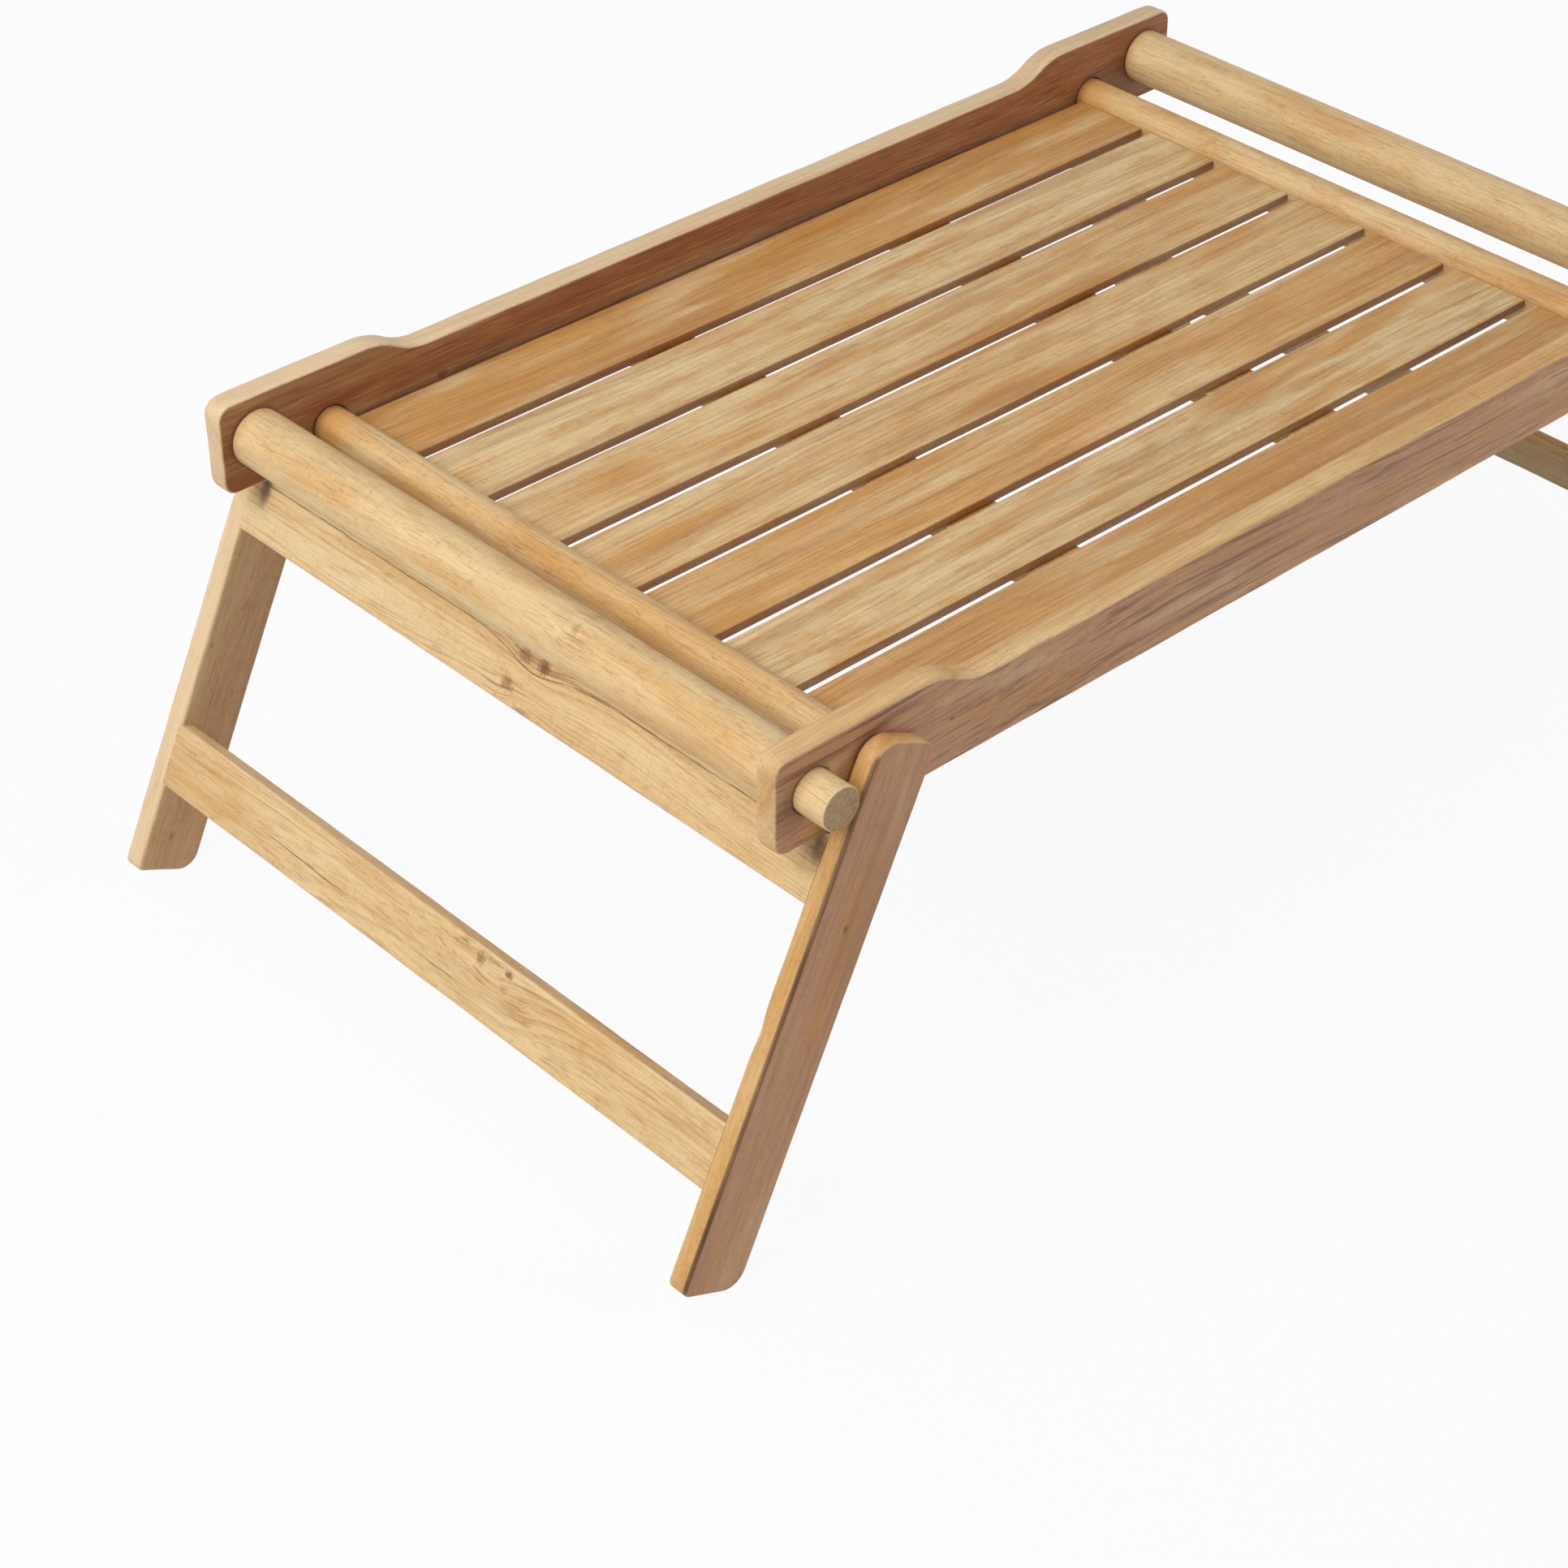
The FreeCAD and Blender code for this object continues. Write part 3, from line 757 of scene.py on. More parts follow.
def arc_points(start, end, radius, turn):
    """Points of an arc of less than a half turn, without its end; turn +1 bends left."""
    run, rise = end[0] - start[0], end[1] - start[1]
    chord = math.hypot(run, rise)
    height = math.sqrt(max(radius * radius - chord * chord / 4, 0))
    centre = ((start[0] + end[0]) / 2 - rise / chord * turn * height,
              (start[1] + end[1]) / 2 + run / chord * turn * height)
    first = math.atan2(start[1] - centre[1], start[0] - centre[0])
    sweep = (math.atan2(end[1] - centre[1], end[0] - centre[0]) - first) * turn % math.tau
    steps = max(ROUND_STEPS, round(radius * sweep / ARC_STEP))
    angles = [first + turn * sweep * step / steps for step in range(steps)]
    return [(centre[0] + radius * math.cos(angle), centre[1] + radius * math.sin(angle))
            for angle in angles]


def drawn(corners, spacing):
    """Closed outline through corners of (x, y) or (x, y, radius, turn), as close points."""
    points = []
    for index, corner in enumerate(corners):
        end = corners[(index + 1) % len(corners)][:2]
        if len(corner) > 2:
            points += arc_points(corner[:2], end, *corner[2:])
            continue
        steps = max(1, round(math.dist(corner, end) / spacing))
        points += [tuple(a + (b - a) * step / steps for a, b in zip(corner, end))
                   for step in range(steps)]
    return points


def outline_board(outline, thickness, edge_at, seed):
    """Rings, edge marks and paleness of a board cut to an outline, its edges rounded over by hand.

    edge_at(face, x, y) gives the edge's radius at a point of the outline, and how far it is paled
    by rubbing and painted highlight, on face 0 at local Y 0 or face 1 at the full thickness. The
    walls all round are marked pale: they are painted paler as painted light.
    """
    wandering = bpy.context.scene.tray_boards.wander
    normals = []
    for index in range(len(outline)):
        before, after = outline[index - 1], outline[(index + 1) % len(outline)]
        normals.append(Vector((after[1] - before[1], before[0] - after[0])).normalized())
    profile = [(1 - math.sin(turn), 1 - math.cos(turn), math.sin(2 * turn))
               for turn in quarter_turns()]
    rings, wear, pale = [], [], []
    for face in (0, 1):
        worn, spans, rubs_and_highlights = [], [], []
        for x, y in outline:
            radius, rub_and_highlight = edge_at(face, x, y)
            stray = wandering * min(radius, WIDEST_STRAY)
            worn.append(radius + stray * wander((x, y, face * thickness), EDGE_WAVE, seed))
            spans.append(radius + stray + SUPPORT)
            rubs_and_highlights.append(rub_and_highlight)
        rows = [(spans, [0] * len(outline), 0, 0)]
        rows += [([inset * radius for radius in worn], [depth * radius for radius in worn],
                  share_rubbed_and_highlighted, min(1, depth * LIT_WALL_REACH)) for inset, depth, share_rubbed_and_highlighted in profile]
        for offsets, depths, share_rubbed_and_highlighted, lit_wall in (reversed(rows) if face else rows):
            spots = [Vector(point) - normal * offset
                     for point, normal, offset in zip(outline, normals, offsets)]
            levels = [thickness - depth if face else depth for depth in depths]
            rings.append([Vector((spot.x, level, spot.y)) for spot, level in zip(spots, levels)])
            wear += [share_rubbed_and_highlighted * rub_and_highlight for rub_and_highlight in rubs_and_highlights]
            pale += [lit_wall] * len(outline)
    return rings, wear, pale


def section_board(width, thickness, board_length, radius, seed):
    """Rings and edge paleness, from rubbing and painted highlight, of a board with a rounded
    section, running along local X.
    """
    wandering = bpy.context.scene.tray_boards.wander
    steps = round(board_length / STATION)
    rings, wear = [], []
    for station in range(steps + 1):
        x = board_length * (station / steps - 0.5)
        ring = []
        for corner, (side, top) in enumerate(((1, 1), (-1, 1), (-1, -1), (1, -1))):
            worn = radius * (1 + wandering * wander((x, corner * 0.1, 0), EDGE_WAVE, seed))
            y, z = side * (width / 2 - worn), top * (thickness / 2 - worn)
            for step in range(ROUND_STEPS + 1):
                turn = math.pi / 2 * (corner + step / ROUND_STEPS)
                ring.append(Vector((x, y + worn * math.cos(turn), z + worn * math.sin(turn))))
                wear.append(math.sin(math.pi * step / ROUND_STEPS))
            inset = min(radius * (1 + wandering) + SUPPORT, thickness / DEEPEST_ROW)
            y, z = width / 2 - inset, thickness / 2 - inset
            flats = {0: ((y, 0, 1), (-y, 0, 1)), 1: ((0, z, -1), (0, -z, -1)),
                     2: ((-y, 0, -1), (y, 0, -1)), 3: ((0, -z, 1), (0, z, 1))}[corner]
            for flat_y, flat_z, outward in flats:
                if corner % 2:
                    ring.append(Vector((x, outward * width / 2, flat_z)))
                else:
                    ring.append(Vector((x, flat_y, outward * thickness / 2)))
                wear.append(0)
        rings.append(ring)
    return rings, wear


def turned_dowel(profile, segments, seed, unevenness=DOWEL_STRAY):
    """Rings and edge paleness of a dowel along local X, turned to a profile of (radius, place,
    edge paleness); the paleness stands for rubbing and painted highlight.
    """
    rings, wear = [], []
    for radius, x, rub_and_highlight in profile:
        ring = []
        for segment in range(segments):
            angle = math.tau * segment / segments
            spot = Vector((x, math.cos(angle) * radius, math.sin(angle) * radius))
            stray = unevenness * wander(spot, DOWEL_WAVE, seed) if radius > SUPPORT else 0
            ring.append(Vector((x, spot.y * (1 + stray / radius), spot.z * (1 + stray / radius))))
            wear.append(rub_and_highlight)
        rings.append(ring)
    return rings, wear


def loft(name, rings, wear, placing, pale=()):
    """Closed mesh through rings of as many points each, placed in the tray's axes."""
    count = len(rings[0])
    vertices = [placing @ point for ring in rings for point in ring]
    faces = [tuple(range(count)), tuple(range(len(vertices) - count, len(vertices)))]
    for ring in range(len(rings) - 1):
        for point in range(count):
            following = (point + 1) % count
            low, high = ring * count, (ring + 1) * count
            faces.append((low + point, low + following, high + following, high + point))
    mesh = bpy.data.meshes.new(name)
    mesh.from_pydata(vertices, [], faces)
    for attribute, values in (("wear", wear), ("pale", pale)):
        if values:
            mesh.attributes.new(attribute, "FLOAT", "POINT").data.foreach_set("value", values)
    piece = add_object(name, mesh)
    face_outwards(piece)
    return piece


def face_outwards(piece):
    """Point every face of a closed mesh outwards and shade it smooth between its sharp edges."""
    work = bmesh.new()
    work.from_mesh(piece.data)
    bmesh.ops.recalc_face_normals(work, faces=work.faces)
    work.to_mesh(piece.data)
    work.free()
    smooth_by_angle(piece)


def smooth_by_angle(piece):
    piece.data.polygons.foreach_set("use_smooth", [True] * len(piece.data.polygons))
    piece.data.set_sharp_from_angle(angle=SHARP)


def settle(piece):
    """Replace an object's modifiers by the plain mesh that they make."""
    graph = bpy.context.evaluated_depsgraph_get()
    made = bpy.data.meshes.new_from_object(piece.evaluated_get(graph))
    piece.modifiers.clear()
    piece.data = made
    smooth_by_angle(piece)


def drill(piece, cutters):
    """Cut round holes; each cutter is (centre, radius, depth) along Y with eased mouths."""
    for centre, radius, depth in cutters:
        wide, half = radius + BORE_EASE, depth / 2
        profile = [(wide, -half - OVERCUT, 0), (wide, -half, 0), (radius, -half + BORE_EASE, 0),
                   (radius, half - BORE_EASE, 0), (wide, half, 0), (wide, half + OVERCUT, 0)]
        rings, wear = turned_dowel(profile, SEGMENTS["bore"], 0, 0)
        cutter = loft("cutter", rings, wear, across_tray(centre))
        cut = piece.modifiers.new("bore", "BOOLEAN")
        cut.operation = "DIFFERENCE"
        cut.solver = "EXACT"
        cut.object = cutter
        settle(piece)
        bpy.data.objects.remove(cutter)


def across_tray(centre):
    """Placing that lays local X along the tray's Y axis."""
    return Matrix.Translation(centre) @ Matrix.Rotation(math.pi / 2, 4, "Z")


def finish_piece(piece, material, body, slot, *nodes):
    """Give a piece its material and let it ride in place of its CAD nodes."""
    piece.data.materials.clear()
    piece.data.materials.append(material)
    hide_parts(*nodes)
    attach(piece, body)


# ---------------------------------------------------------------- rails, handles and axles

def rail_corners(settings, half_length, height):
    low, corner = settings.low_height, settings.corner
    shoulder = half_length - settings.shoulder
    foot_of_step = shoulder - settings.step
    middle_of_step = shoulder - settings.step / 2
    rise = height - low
    sweep = (rise * rise + settings.step ** 2) / (rise * 4)
    mid_height = low + rise / 2
    return [
        (-(half_length - corner), 0),
        (half_length - corner, 0, corner, 1),
        (half_length, corner),
        (half_length, height - corner, corner, 1),
        (half_length - corner, height),
        (shoulder, height, sweep, 1),
        (middle_of_step, mid_height, sweep, -1),
        (foot_of_step, low),
        (-foot_of_step, low, sweep, -1),
        (-middle_of_step, mid_height, sweep, 1),
        (-shoulder, height),
        (-(half_length - corner), height, corner, 1),
        (-half_length, height - corner),
        (-half_length, corner, corner, 1),
    ]


RAIL_SPACING = 4 * MM  # between points along a rail's outline
END_REACH = 12 * MM  # how far from its end a rail's edges are rounder and more paled by rubbing and painted highlight
END_RUB_AND_HIGHLIGHT = 0.5
SHADE_RINGS = {"handle": 0.4, "axle": 0.8}  # darkness of the rings of painted shade round the dowels
RAIL_TIMBER = {
    "front": {"pith": (-34, 58), "seed": 2, "tone": (0.35, 0.95), "heart": (88, 96),
              "contrast": ("blush", "streak"), "cream": 0.06, "brown": 0.1, "streaks": 0.8,
              "strands": 0.45, "fibres": 0.3, "lines": 0.3, "mottle": 0.5, "flecks": 0.12,
              "stains": ((-204.7, -0.7, 1.4, 0.9, 1),),
              # shades: painted shade beside the leg's top and the handle's tip, which stand out from
              # the rail.
              "shades": ((-247, -1, 16, 21, 0.8), (-285, 1, 13, 17, 0.45))},
    "back": {"pith": (70, 60), "seed": 6, "tone": (0.1, 0.5), "contrast": ("honey", "ink"),
             "cream": 0.45, "russet": 0.72, "brown": 0.4, "streaks": 0.3, "strands": 0.6,
             "lines": 0.55, "fibres": 0.3, "rings": 0.5, "mottle": 0.3, "flecks": 0.1,
             "stains": ((-178, -6.6, 4, 2.8, 0.8), (-80, -10.5, 22, 1.2, 0.5))},
}


class TRAY_OT_rails(bpy.types.Operator):
    """Make the two side rails with their S-curved ends and bores"""
    bl_idname = "tray.rails"
    bl_label = "Side Rails"
    bl_options = {"REGISTER", "UNDO"}

    def execute(self, context):
        settings, dowels = context.scene.tray_rails, context.scene.tray_dowels
        for place, side in SIDES:
            node = f"rail_{place}"
            low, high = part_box(node)
            size = high - low
            outline = drawn(rail_corners(settings, size.x / 2, size.z), RAIL_SPACING)

            def edge_at(face, x, _):
                near_end = max(0, 1 - (size.x / 2 - abs(x)) / END_REACH)
                rub_and_highlight = EDGE_RUB_AND_HIGHLIGHT + END_RUB_AND_HIGHLIGHT * near_end
                if face == 0:
                    return settings.front_edge, rub_and_highlight
                return settings.back_edge + (settings.end_edge - settings.back_edge) * near_end, rub_and_highlight

            rings, wear, pale = outline_board(outline, size.y, edge_at, side)
            placing = Matrix.Translation((0, low.y, low.z))
            piece = loft(f"side_rail_{place}", rings, wear, placing, pale)
            middle = middle_of(node)
            # A ring of painted shade goes round each dowel on the rail.
            cutters, shade_rings = [], []
            for hand, _ in ENDS:
                for kind, outside in (("handle", dowels.handle_end / 2),
                                      ("axle", size_of(f"axle_{hand}").x / 2)):
                    dowel = f"{kind}_{hand}"
                    at = middle_of(dowel)
                    cutters.append((Vector((at.x, middle.y, at.z)), outside + settings.bore_play,
                                    size.y))
                    inside = size_of(dowel).x / 2
                    radii = (outside, inside) if side < 0 else (inside, outside)
                    shade_rings.append((*(value / MM for value in (at.x, at.z - middle.z, *radii)),
                                 SHADE_RINGS[kind]))
            drill(piece, cutters)
            timber = Timber(ALONG_X, ALONG_Z, middle, shade_rings=tuple(shade_rings), **RAIL_TIMBER[place])
            finish_piece(piece, wood(f"rail_{place}_wood", timber), "tray", "rail_wood", node)
        return {"FINISHED"}


# The handles' darker ends by the back rail are painted shade where they meet it.
HANDLE_TIMBER = {
    "left": {"pith": (26, 30), "seed": 4, "tone": (0, 0.32), "brown": 0.1, "streaks": 0.05,
             "strands": 0.3, "lines": 0.15, "rings": 0.15, "mottle": 0.5, "flecks": 0.25,
             "knots": ((-51.8, 11.6, 3.4),), "stains": ((-51.8, 11.6, 3, 1.6, 0.35),),
             "dark_end": (160, 168, 0.35)},
    "right": {"pith": (-20, 34), "seed": 9, "tone": (0, 0.5), "brown": 0.1, "streaks": 0.08,
              "strands": 0.3, "rings": 0.2, "mottle": 0.5, "flecks": 0.25,
              "dark_end": (160, 168, 0.35)},
}


def spaced(start, end, spacing):
    steps = max(1, round(abs(end - start) / spacing))
    return [start + (end - start) * step / steps for step in range(1, steps)]


def rounding(radius, place, size, outward):
    """Quarter round from a flat end to a dowel's side; outward is the way the end faces."""
    return [(radius - size * (1 - math.sin(turn)), place - outward * size * (1 - math.cos(turn)),
             math.sin(2 * turn)) for turn in quarter_turns()]


def handle_profile(settings, grip, inside, front, back):
    """Handle from front to back: (radius, place, edge paleness), turned down outside the rails'
    insides; the edge paleness stands for rubbing and painted highlight.
    """
    tip = settings.handle_end / 2

    def half(reach):
        points = [(grip, place, 0) for place in spaced(0, inside - settings.shoulder, STATION)]
        points += reversed(rounding(grip, inside, settings.shoulder, 1))
        points += [(tip, place, 0) for place in (inside, (inside + reach) / 2,
                                                 reach - 2 * settings.tip)]
        points += reversed(rounding(tip, reach, settings.tip, 1))
        return points + [(tip - settings.tip - SUPPORT, reach, 0)]

    mirrored = [(radius, -place, rub_and_highlight) for radius, place, rub_and_highlight in reversed(half(front))]
    return mirrored + [(grip, 0, 0)] + half(back)


class TRAY_OT_handles(bpy.types.Operator):
    """Turn the two handle dowels, full size between the rails and smaller through them"""
    bl_idname = "tray.handles"
    bl_label = "Handles"
    bl_options = {"REGISTER", "UNDO"}

    def execute(self, context):
        settings = context.scene.tray_dowels
        inside, outside = (corner.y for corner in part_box("rail_back"))
        for hand, end in ENDS:
            node = f"handle_{hand}"
            size = size_of(node)
            profile = handle_profile(settings, size.x / 2, inside, size.y / 2,
                                     outside + settings.back_reach)
            rings, wear = turned_dowel(profile, SEGMENTS["handle"], end + 3)
            piece = loft(f"grip_{hand}", rings, wear, across_tray(middle_of(node)))
            timber = Timber(ALONG_Y, ALONG_Z, middle_of(node), **HANDLE_TIMBER[hand])
            finish_piece(piece, wood(f"handle_{hand}_wood", timber), "tray", "dowel_wood", node)
        return {"FINISHED"}


class TRAY_OT_axles(bpy.types.Operator):
    """Turn the two axle dowels, which go through the rails into the legs"""
    bl_idname = "tray.axles"
    bl_label = "Axles"
    bl_options = {"REGISTER", "UNDO"}

    def execute(self, context):
        tip = context.scene.tray_dowels.tip
        for hand, end in ENDS:
            node = f"axle_{hand}"
            size = size_of(node)
            radius, reach = size.x / 2, size.y / 2
            rounded = rounding(radius, reach, tip, 1)
            profile = [(ring_radius, -place, rub_and_highlight) for ring_radius, place, rub_and_highlight in rounded]
            profile += [(radius, place, 0) for place in spaced(-reach, reach, STATION)]
            profile += reversed(rounded)
            rings, wear = turned_dowel(profile, SEGMENTS["axle"], end + 7)
            piece = loft(f"pivot_dowel_{hand}", rings, wear, across_tray(middle_of(node)))
            timber = Timber(ALONG_Y, ALONG_Z, middle_of(node), pith=(18, 12), seed=12 + end,
                            tone=(0.15, 0.65), brown=0.15, streaks=0.08, mottle=0.65, flecks=0.3,
                            dark_end=(136, 167, 0.8))
            finish_piece(piece, wood(f"axle_{hand}_wood", timber), f"leg_frame_{hand}",
                         "dowel_wood", node)
        return {"FINISHED"}


# ---------------------------------------------------------------- slats and screws

SOCKETS = {int: "Int", float: "Float", bpy.types.Material: "Material"}


def group(name, values):
    """Graph of a new geometry node tree, and a wire from an input of its own for each value."""
    graph = Graph(bpy.data.node_groups.new(name, "GeometryNodeTree"))
    new_socket = graph.tree.interface.new_socket
    for label, value in values.items():
        new_socket(label, in_out="INPUT", socket_type=f"NodeSocket{SOCKETS[type(value)]}")
    new_socket("Geometry", in_out="OUTPUT", socket_type="NodeSocketGeometry")
    entry = graph.node("NodeGroupInput")
    return graph, {label: entry.output(label) for label in values}


def grow(name, tree_of, values):
    """Run a geometry node tree on a new object and keep the plain mesh that it makes."""
    tree = tree_of(values)
    piece = add_object(name, bpy.data.meshes.new(name))
    modifier = piece.modifiers.new(name, "NODES")
    modifier.node_group = tree
    for socket in tree.interface.items_tree:
        if socket.in_out == "INPUT":
            modifier[socket.identifier] = values[socket.name]
    settle(piece)
    return piece


def slat_nodes():
    """CAD nodes of the slats, from front to back."""
    return sorted(node for node in frame["nodes"]
                  if node.startswith("slat_") and node != "slat_screws")


def slat_pitch():
    first, second = slat_nodes()[:2]
    return middle_of(second).y - middle_of(first).y


SLAT_WAVES = (7, 9, 9)  # how many waves a slat's unevenness has to the metre
SLAT_LIFT = 3


def slat_tree(values):
    """Row of slats: a rounded section swept along each, with a little unevenness of its own."""
    graph, given = group("slat_row", values)
    half = given["Length"] / 2
    line = graph.node("GeometryNodeCurvePrimitiveLine", None,
                      {"Start": graph.joined(-half, 0, 0), "End": graph.joined(half, 0, 0)})
    line = graph.node("GeometryNodeResampleCurve", {"mode": "LENGTH"},
                      {"Curve": line, "Length": given["Station"]})
    section = graph.node("GeometryNodeCurvePrimitiveQuadrilateral", None,
                         {"Width": given["Width"], "Height": given["Thickness"]})
    section = graph.node("GeometryNodeFilletCurve", {"mode": "POLY"},
                         {"Curve": section, "Count": ROUND_STEPS, "Radius": given["Edge"]})
    slat = graph.node("GeometryNodeCurveToMesh", None,
                      {"Curve": line, "Profile Curve": section, "Fill Caps": True})

    first = (given["Count"] - 1) * given["Pitch"] / -2
    row = graph.node("GeometryNodeMeshLine", None, {
        "Count": given["Count"], "Start Location": graph.joined(0, first, given["Height"]),
        "Offset": graph.joined(0, given["Pitch"], 0)})
    row = graph.node("GeometryNodeInstanceOnPoints", None, {"Points": row, "Instance": slat})
    number = graph.node("GeometryNodeInputIndex")
    row = graph.node("GeometryNodeStoreNamedAttribute", {"data_type": "FLOAT", "domain": "INSTANCE"},
                     {"Geometry": row, "Name": "board", "Value": number})
    row = graph.node("GeometryNodeRealizeInstances", None, {"Geometry": row})

    board = graph.node("GeometryNodeInputNamedAttribute", {"data_type": "FLOAT"}, {"Name": "board"})
    spot = graph.node("GeometryNodeInputPosition")
    apart = graph.joined((board + given["Seed"]) * 3.1, board * 1.7, 0)
    waves = graph.vector("MULTIPLY", spot, SLAT_WAVES)
    stray = graph.noise(graph.vector("ADD", waves, apart), 1)
    lift = (stray - 0.5) * given["Unevenness"] * SLAT_LIFT
    row = graph.node("GeometryNodeSetPosition", None,
                     {"Geometry": row,
                      "Offset": graph.joined(0, (stray - 0.5) * given["Bow"], lift)})
    row = graph.node("GeometryNodeSetMaterial", None, {"Geometry": row, "Material": given["Wood"]})
    graph.node("NodeGroupOutput", None, {"Geometry": row})
    return graph.tree


SLAT_TONES = (1.0, 0.0, 0.85, 0.45, 0.4, 0.0, 1.0)


class TRAY_OT_slats(bpy.types.Operator):
    """Lay the row of floor slats"""
    bl_idname = "tray.slats"
    bl_label = "Slats"
    bl_options = {"REGISTER", "UNDO"}

    def execute(self, context):
        settings = context.scene.tray_slats
        nodes = slat_nodes()
        size = size_of(nodes[0])
        first, last = middle_of(nodes[0]), middle_of(nodes[-1])
        middle = (first + last) / 2
        # The slats' long sides are painted russet as painted shade in the gaps between them.
        timber = Timber(ALONG_X, ALONG_Y, Vector((middle.x, first.y, middle.z)), pith=(88, -34),
                        seed=8, tone=(0.0, 0.9), sides=0.55, brown=0.4, strands=0.24,
                        lines=0.4, rings=0.4, ring_width=3.1, mottle=0.9,
                        board_pitch=slat_pitch() / MM, board_tones=SLAT_TONES)
        material = wood("slat_wood", timber)
        piece = grow("floor_slats", slat_tree, {
            "Count": len(nodes), "Length": size.x, "Width": size.y + settings.swell,
            "Thickness": size.z, "Pitch": slat_pitch(), "Height": middle.z,
            "Edge": settings.edge, "Station": settings.station, "Bow": settings.bow,
            "Unevenness": settings.unevenness, "Seed": settings.seed, "Wood": material})
        finish_piece(piece, material, "tray", "slat_wood", *nodes)
        return {"FINISHED"}


SCREW_SEED = 5


def screw_tree(values):
    """Grid of countersunk screws that point up, each with a cross recess in its head."""
    graph, given = group("screw_grid", values)
    head = graph.node("GeometryNodeMeshCone", None, {
        "Vertices": SEGMENTS["screw head"], "Radius Top": given["Shank"] / 2,
        "Radius Bottom": given["Head"] / 2, "Depth": given["Head Height"]})
    shank = graph.node("GeometryNodeMeshCylinder", None, {
        "Vertices": SEGMENTS["screw shank"], "Radius": given["Shank"] / 2,
        "Depth": given["Length"]})
    shank = graph.node("GeometryNodeTransform", None, {
        "Geometry": shank, "Translation": graph.joined(0, 0, given["Length"] / 2)})
    for quarter in (0, 1):
        arm = graph.node("GeometryNodeMeshCube", None, {
            "Size": graph.joined(given["Recess Length"], given["Recess Width"],
                                 given["Recess Depth"] * 2)})
        arm = graph.node("GeometryNodeTransform", None,
                         {"Geometry": arm, "Rotation": Euler((0, 0, quarter * math.pi / 2))})
        head = graph.node("GeometryNodeMeshBoolean", {"operation": "DIFFERENCE", "solver": "EXACT"},
                          {"Mesh 1": head, "Mesh 2": arm})
    screw = graph.node("GeometryNodeJoinGeometry", None, {"Geometry": head})
    graph.tree.links.new(shank.socket, screw.socket.node.inputs[0])

    row = graph.node("GeometryNodeMeshLine", None, {
        "Count": given["Row Count"],
        "Start Location": graph.joined(0, (given["Row Count"] - 1) * given["Pitch"] / -2,
                                       given["Bottom"]),
        "Offset": graph.joined(0, given["Pitch"], 0)})
    rows = graph.node("GeometryNodeJoinGeometry")
    for end in (-1, 1):
        moved = graph.node("GeometryNodeTransform", None, {
            "Geometry": row, "Translation": graph.joined(given["Spread"] * end, 0, 0)})
        graph.tree.links.new(moved.socket, rows.socket.node.inputs[0])
    spin = graph.node("FunctionNodeRandomValue", {"data_type": "FLOAT"},
                      {2: 0.0, 3: math.pi, "Seed": given["Seed"]}, 1)
    grid = graph.node("GeometryNodeInstanceOnPoints", None, {
        "Points": rows, "Instance": screw, "Rotation": graph.joined(0, 0, spin)})
    grid = graph.node("GeometryNodeRealizeInstances", None, {"Geometry": grid})
    grid = graph.node("GeometryNodeSetMaterial", None,
                      {"Geometry": grid, "Material": given["Steel"]})
    graph.node("NodeGroupOutput", None, {"Geometry": grid})
    return graph.tree


class TRAY_OT_screws(bpy.types.Operator):
    """Drive the screws that hold the slats to the battens"""
    bl_idname = "tray.screws"
    bl_label = "Screws"
    bl_options = {"REGISTER", "UNDO"}

    def execute(self, context):
        settings = context.scene.tray_screws
        low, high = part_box("slat_screws")
        material = steel()
        piece = grow("countersunk_screws", screw_tree, {
            "Row Count": len(slat_nodes()), "Pitch": slat_pitch(),
            "Spread": middle_of("batten_right").x, "Bottom": low.z, "Length": high.z - low.z,
            "Head": settings.head, "Head Height": settings.head_height, "Shank": settings.shank,
            "Recess Length": settings.slot_length, "Recess Width": settings.slot_width,
            "Recess Depth": settings.slot_depth, "Seed": SCREW_SEED, "Steel": material})
        finish_piece(piece, material, "tray", "screw_steel", "slat_screws")
        return {"FINISHED"}


class TRAY_OT_battens(bpy.types.Operator):
    """Finish the two battens under the slats"""
    bl_idname = "tray.battens"
    bl_label = "Battens"
    bl_options = {"REGISTER", "UNDO"}

    def execute(self, context):
        for hand, end in ENDS:
            node = f"batten_{hand}"
            timber = Timber(ALONG_Y, ALONG_X, middle_of(node), pith=(30 * end, 50), seed=15 + end,
                            tone=(0.3, 0.9))
            piece = frame["nodes"][node]
            piece.data.materials[0] = wood(f"{node}_wood", timber)
        return {"FINISHED"}


# ---------------------------------------------------------------- leg frames

def leg_axes(hand, end):
    """Placing of a leg frame's own axes: Z up the leg, X towards the tray's middle."""
    pivot = middle_of(f"axle_{hand}")
    upper, lower = (middle_of(f"crossrail_{level}_{hand}") for level in ("upper", "lower"))
    splay = math.atan2(abs(upper.x - lower.x), upper.z - lower.z)
    turn = Matrix.Rotation(splay, 4, "Y")
    if end > 0:
        turn = Matrix.Rotation(math.pi, 4, "Z") @ turn
    return Matrix.Translation(pivot) @ turn


def turned(placing, direction):
    """A direction of a leg frame's own axes, in the tray's."""
    return (placing.to_3x3() @ direction).normalized()


def extent(node, placing):
    """Box of a CAD node in a leg frame's own axes."""
    back = placing.inverted()
    points = [back @ vertex.co for vertex in frame["nodes"][node].data.vertices]
    low = Vector(min(point[axis] for point in points) for axis in range(3))
    high = Vector(max(point[axis] for point in points) for axis in range(3))
    return low, high


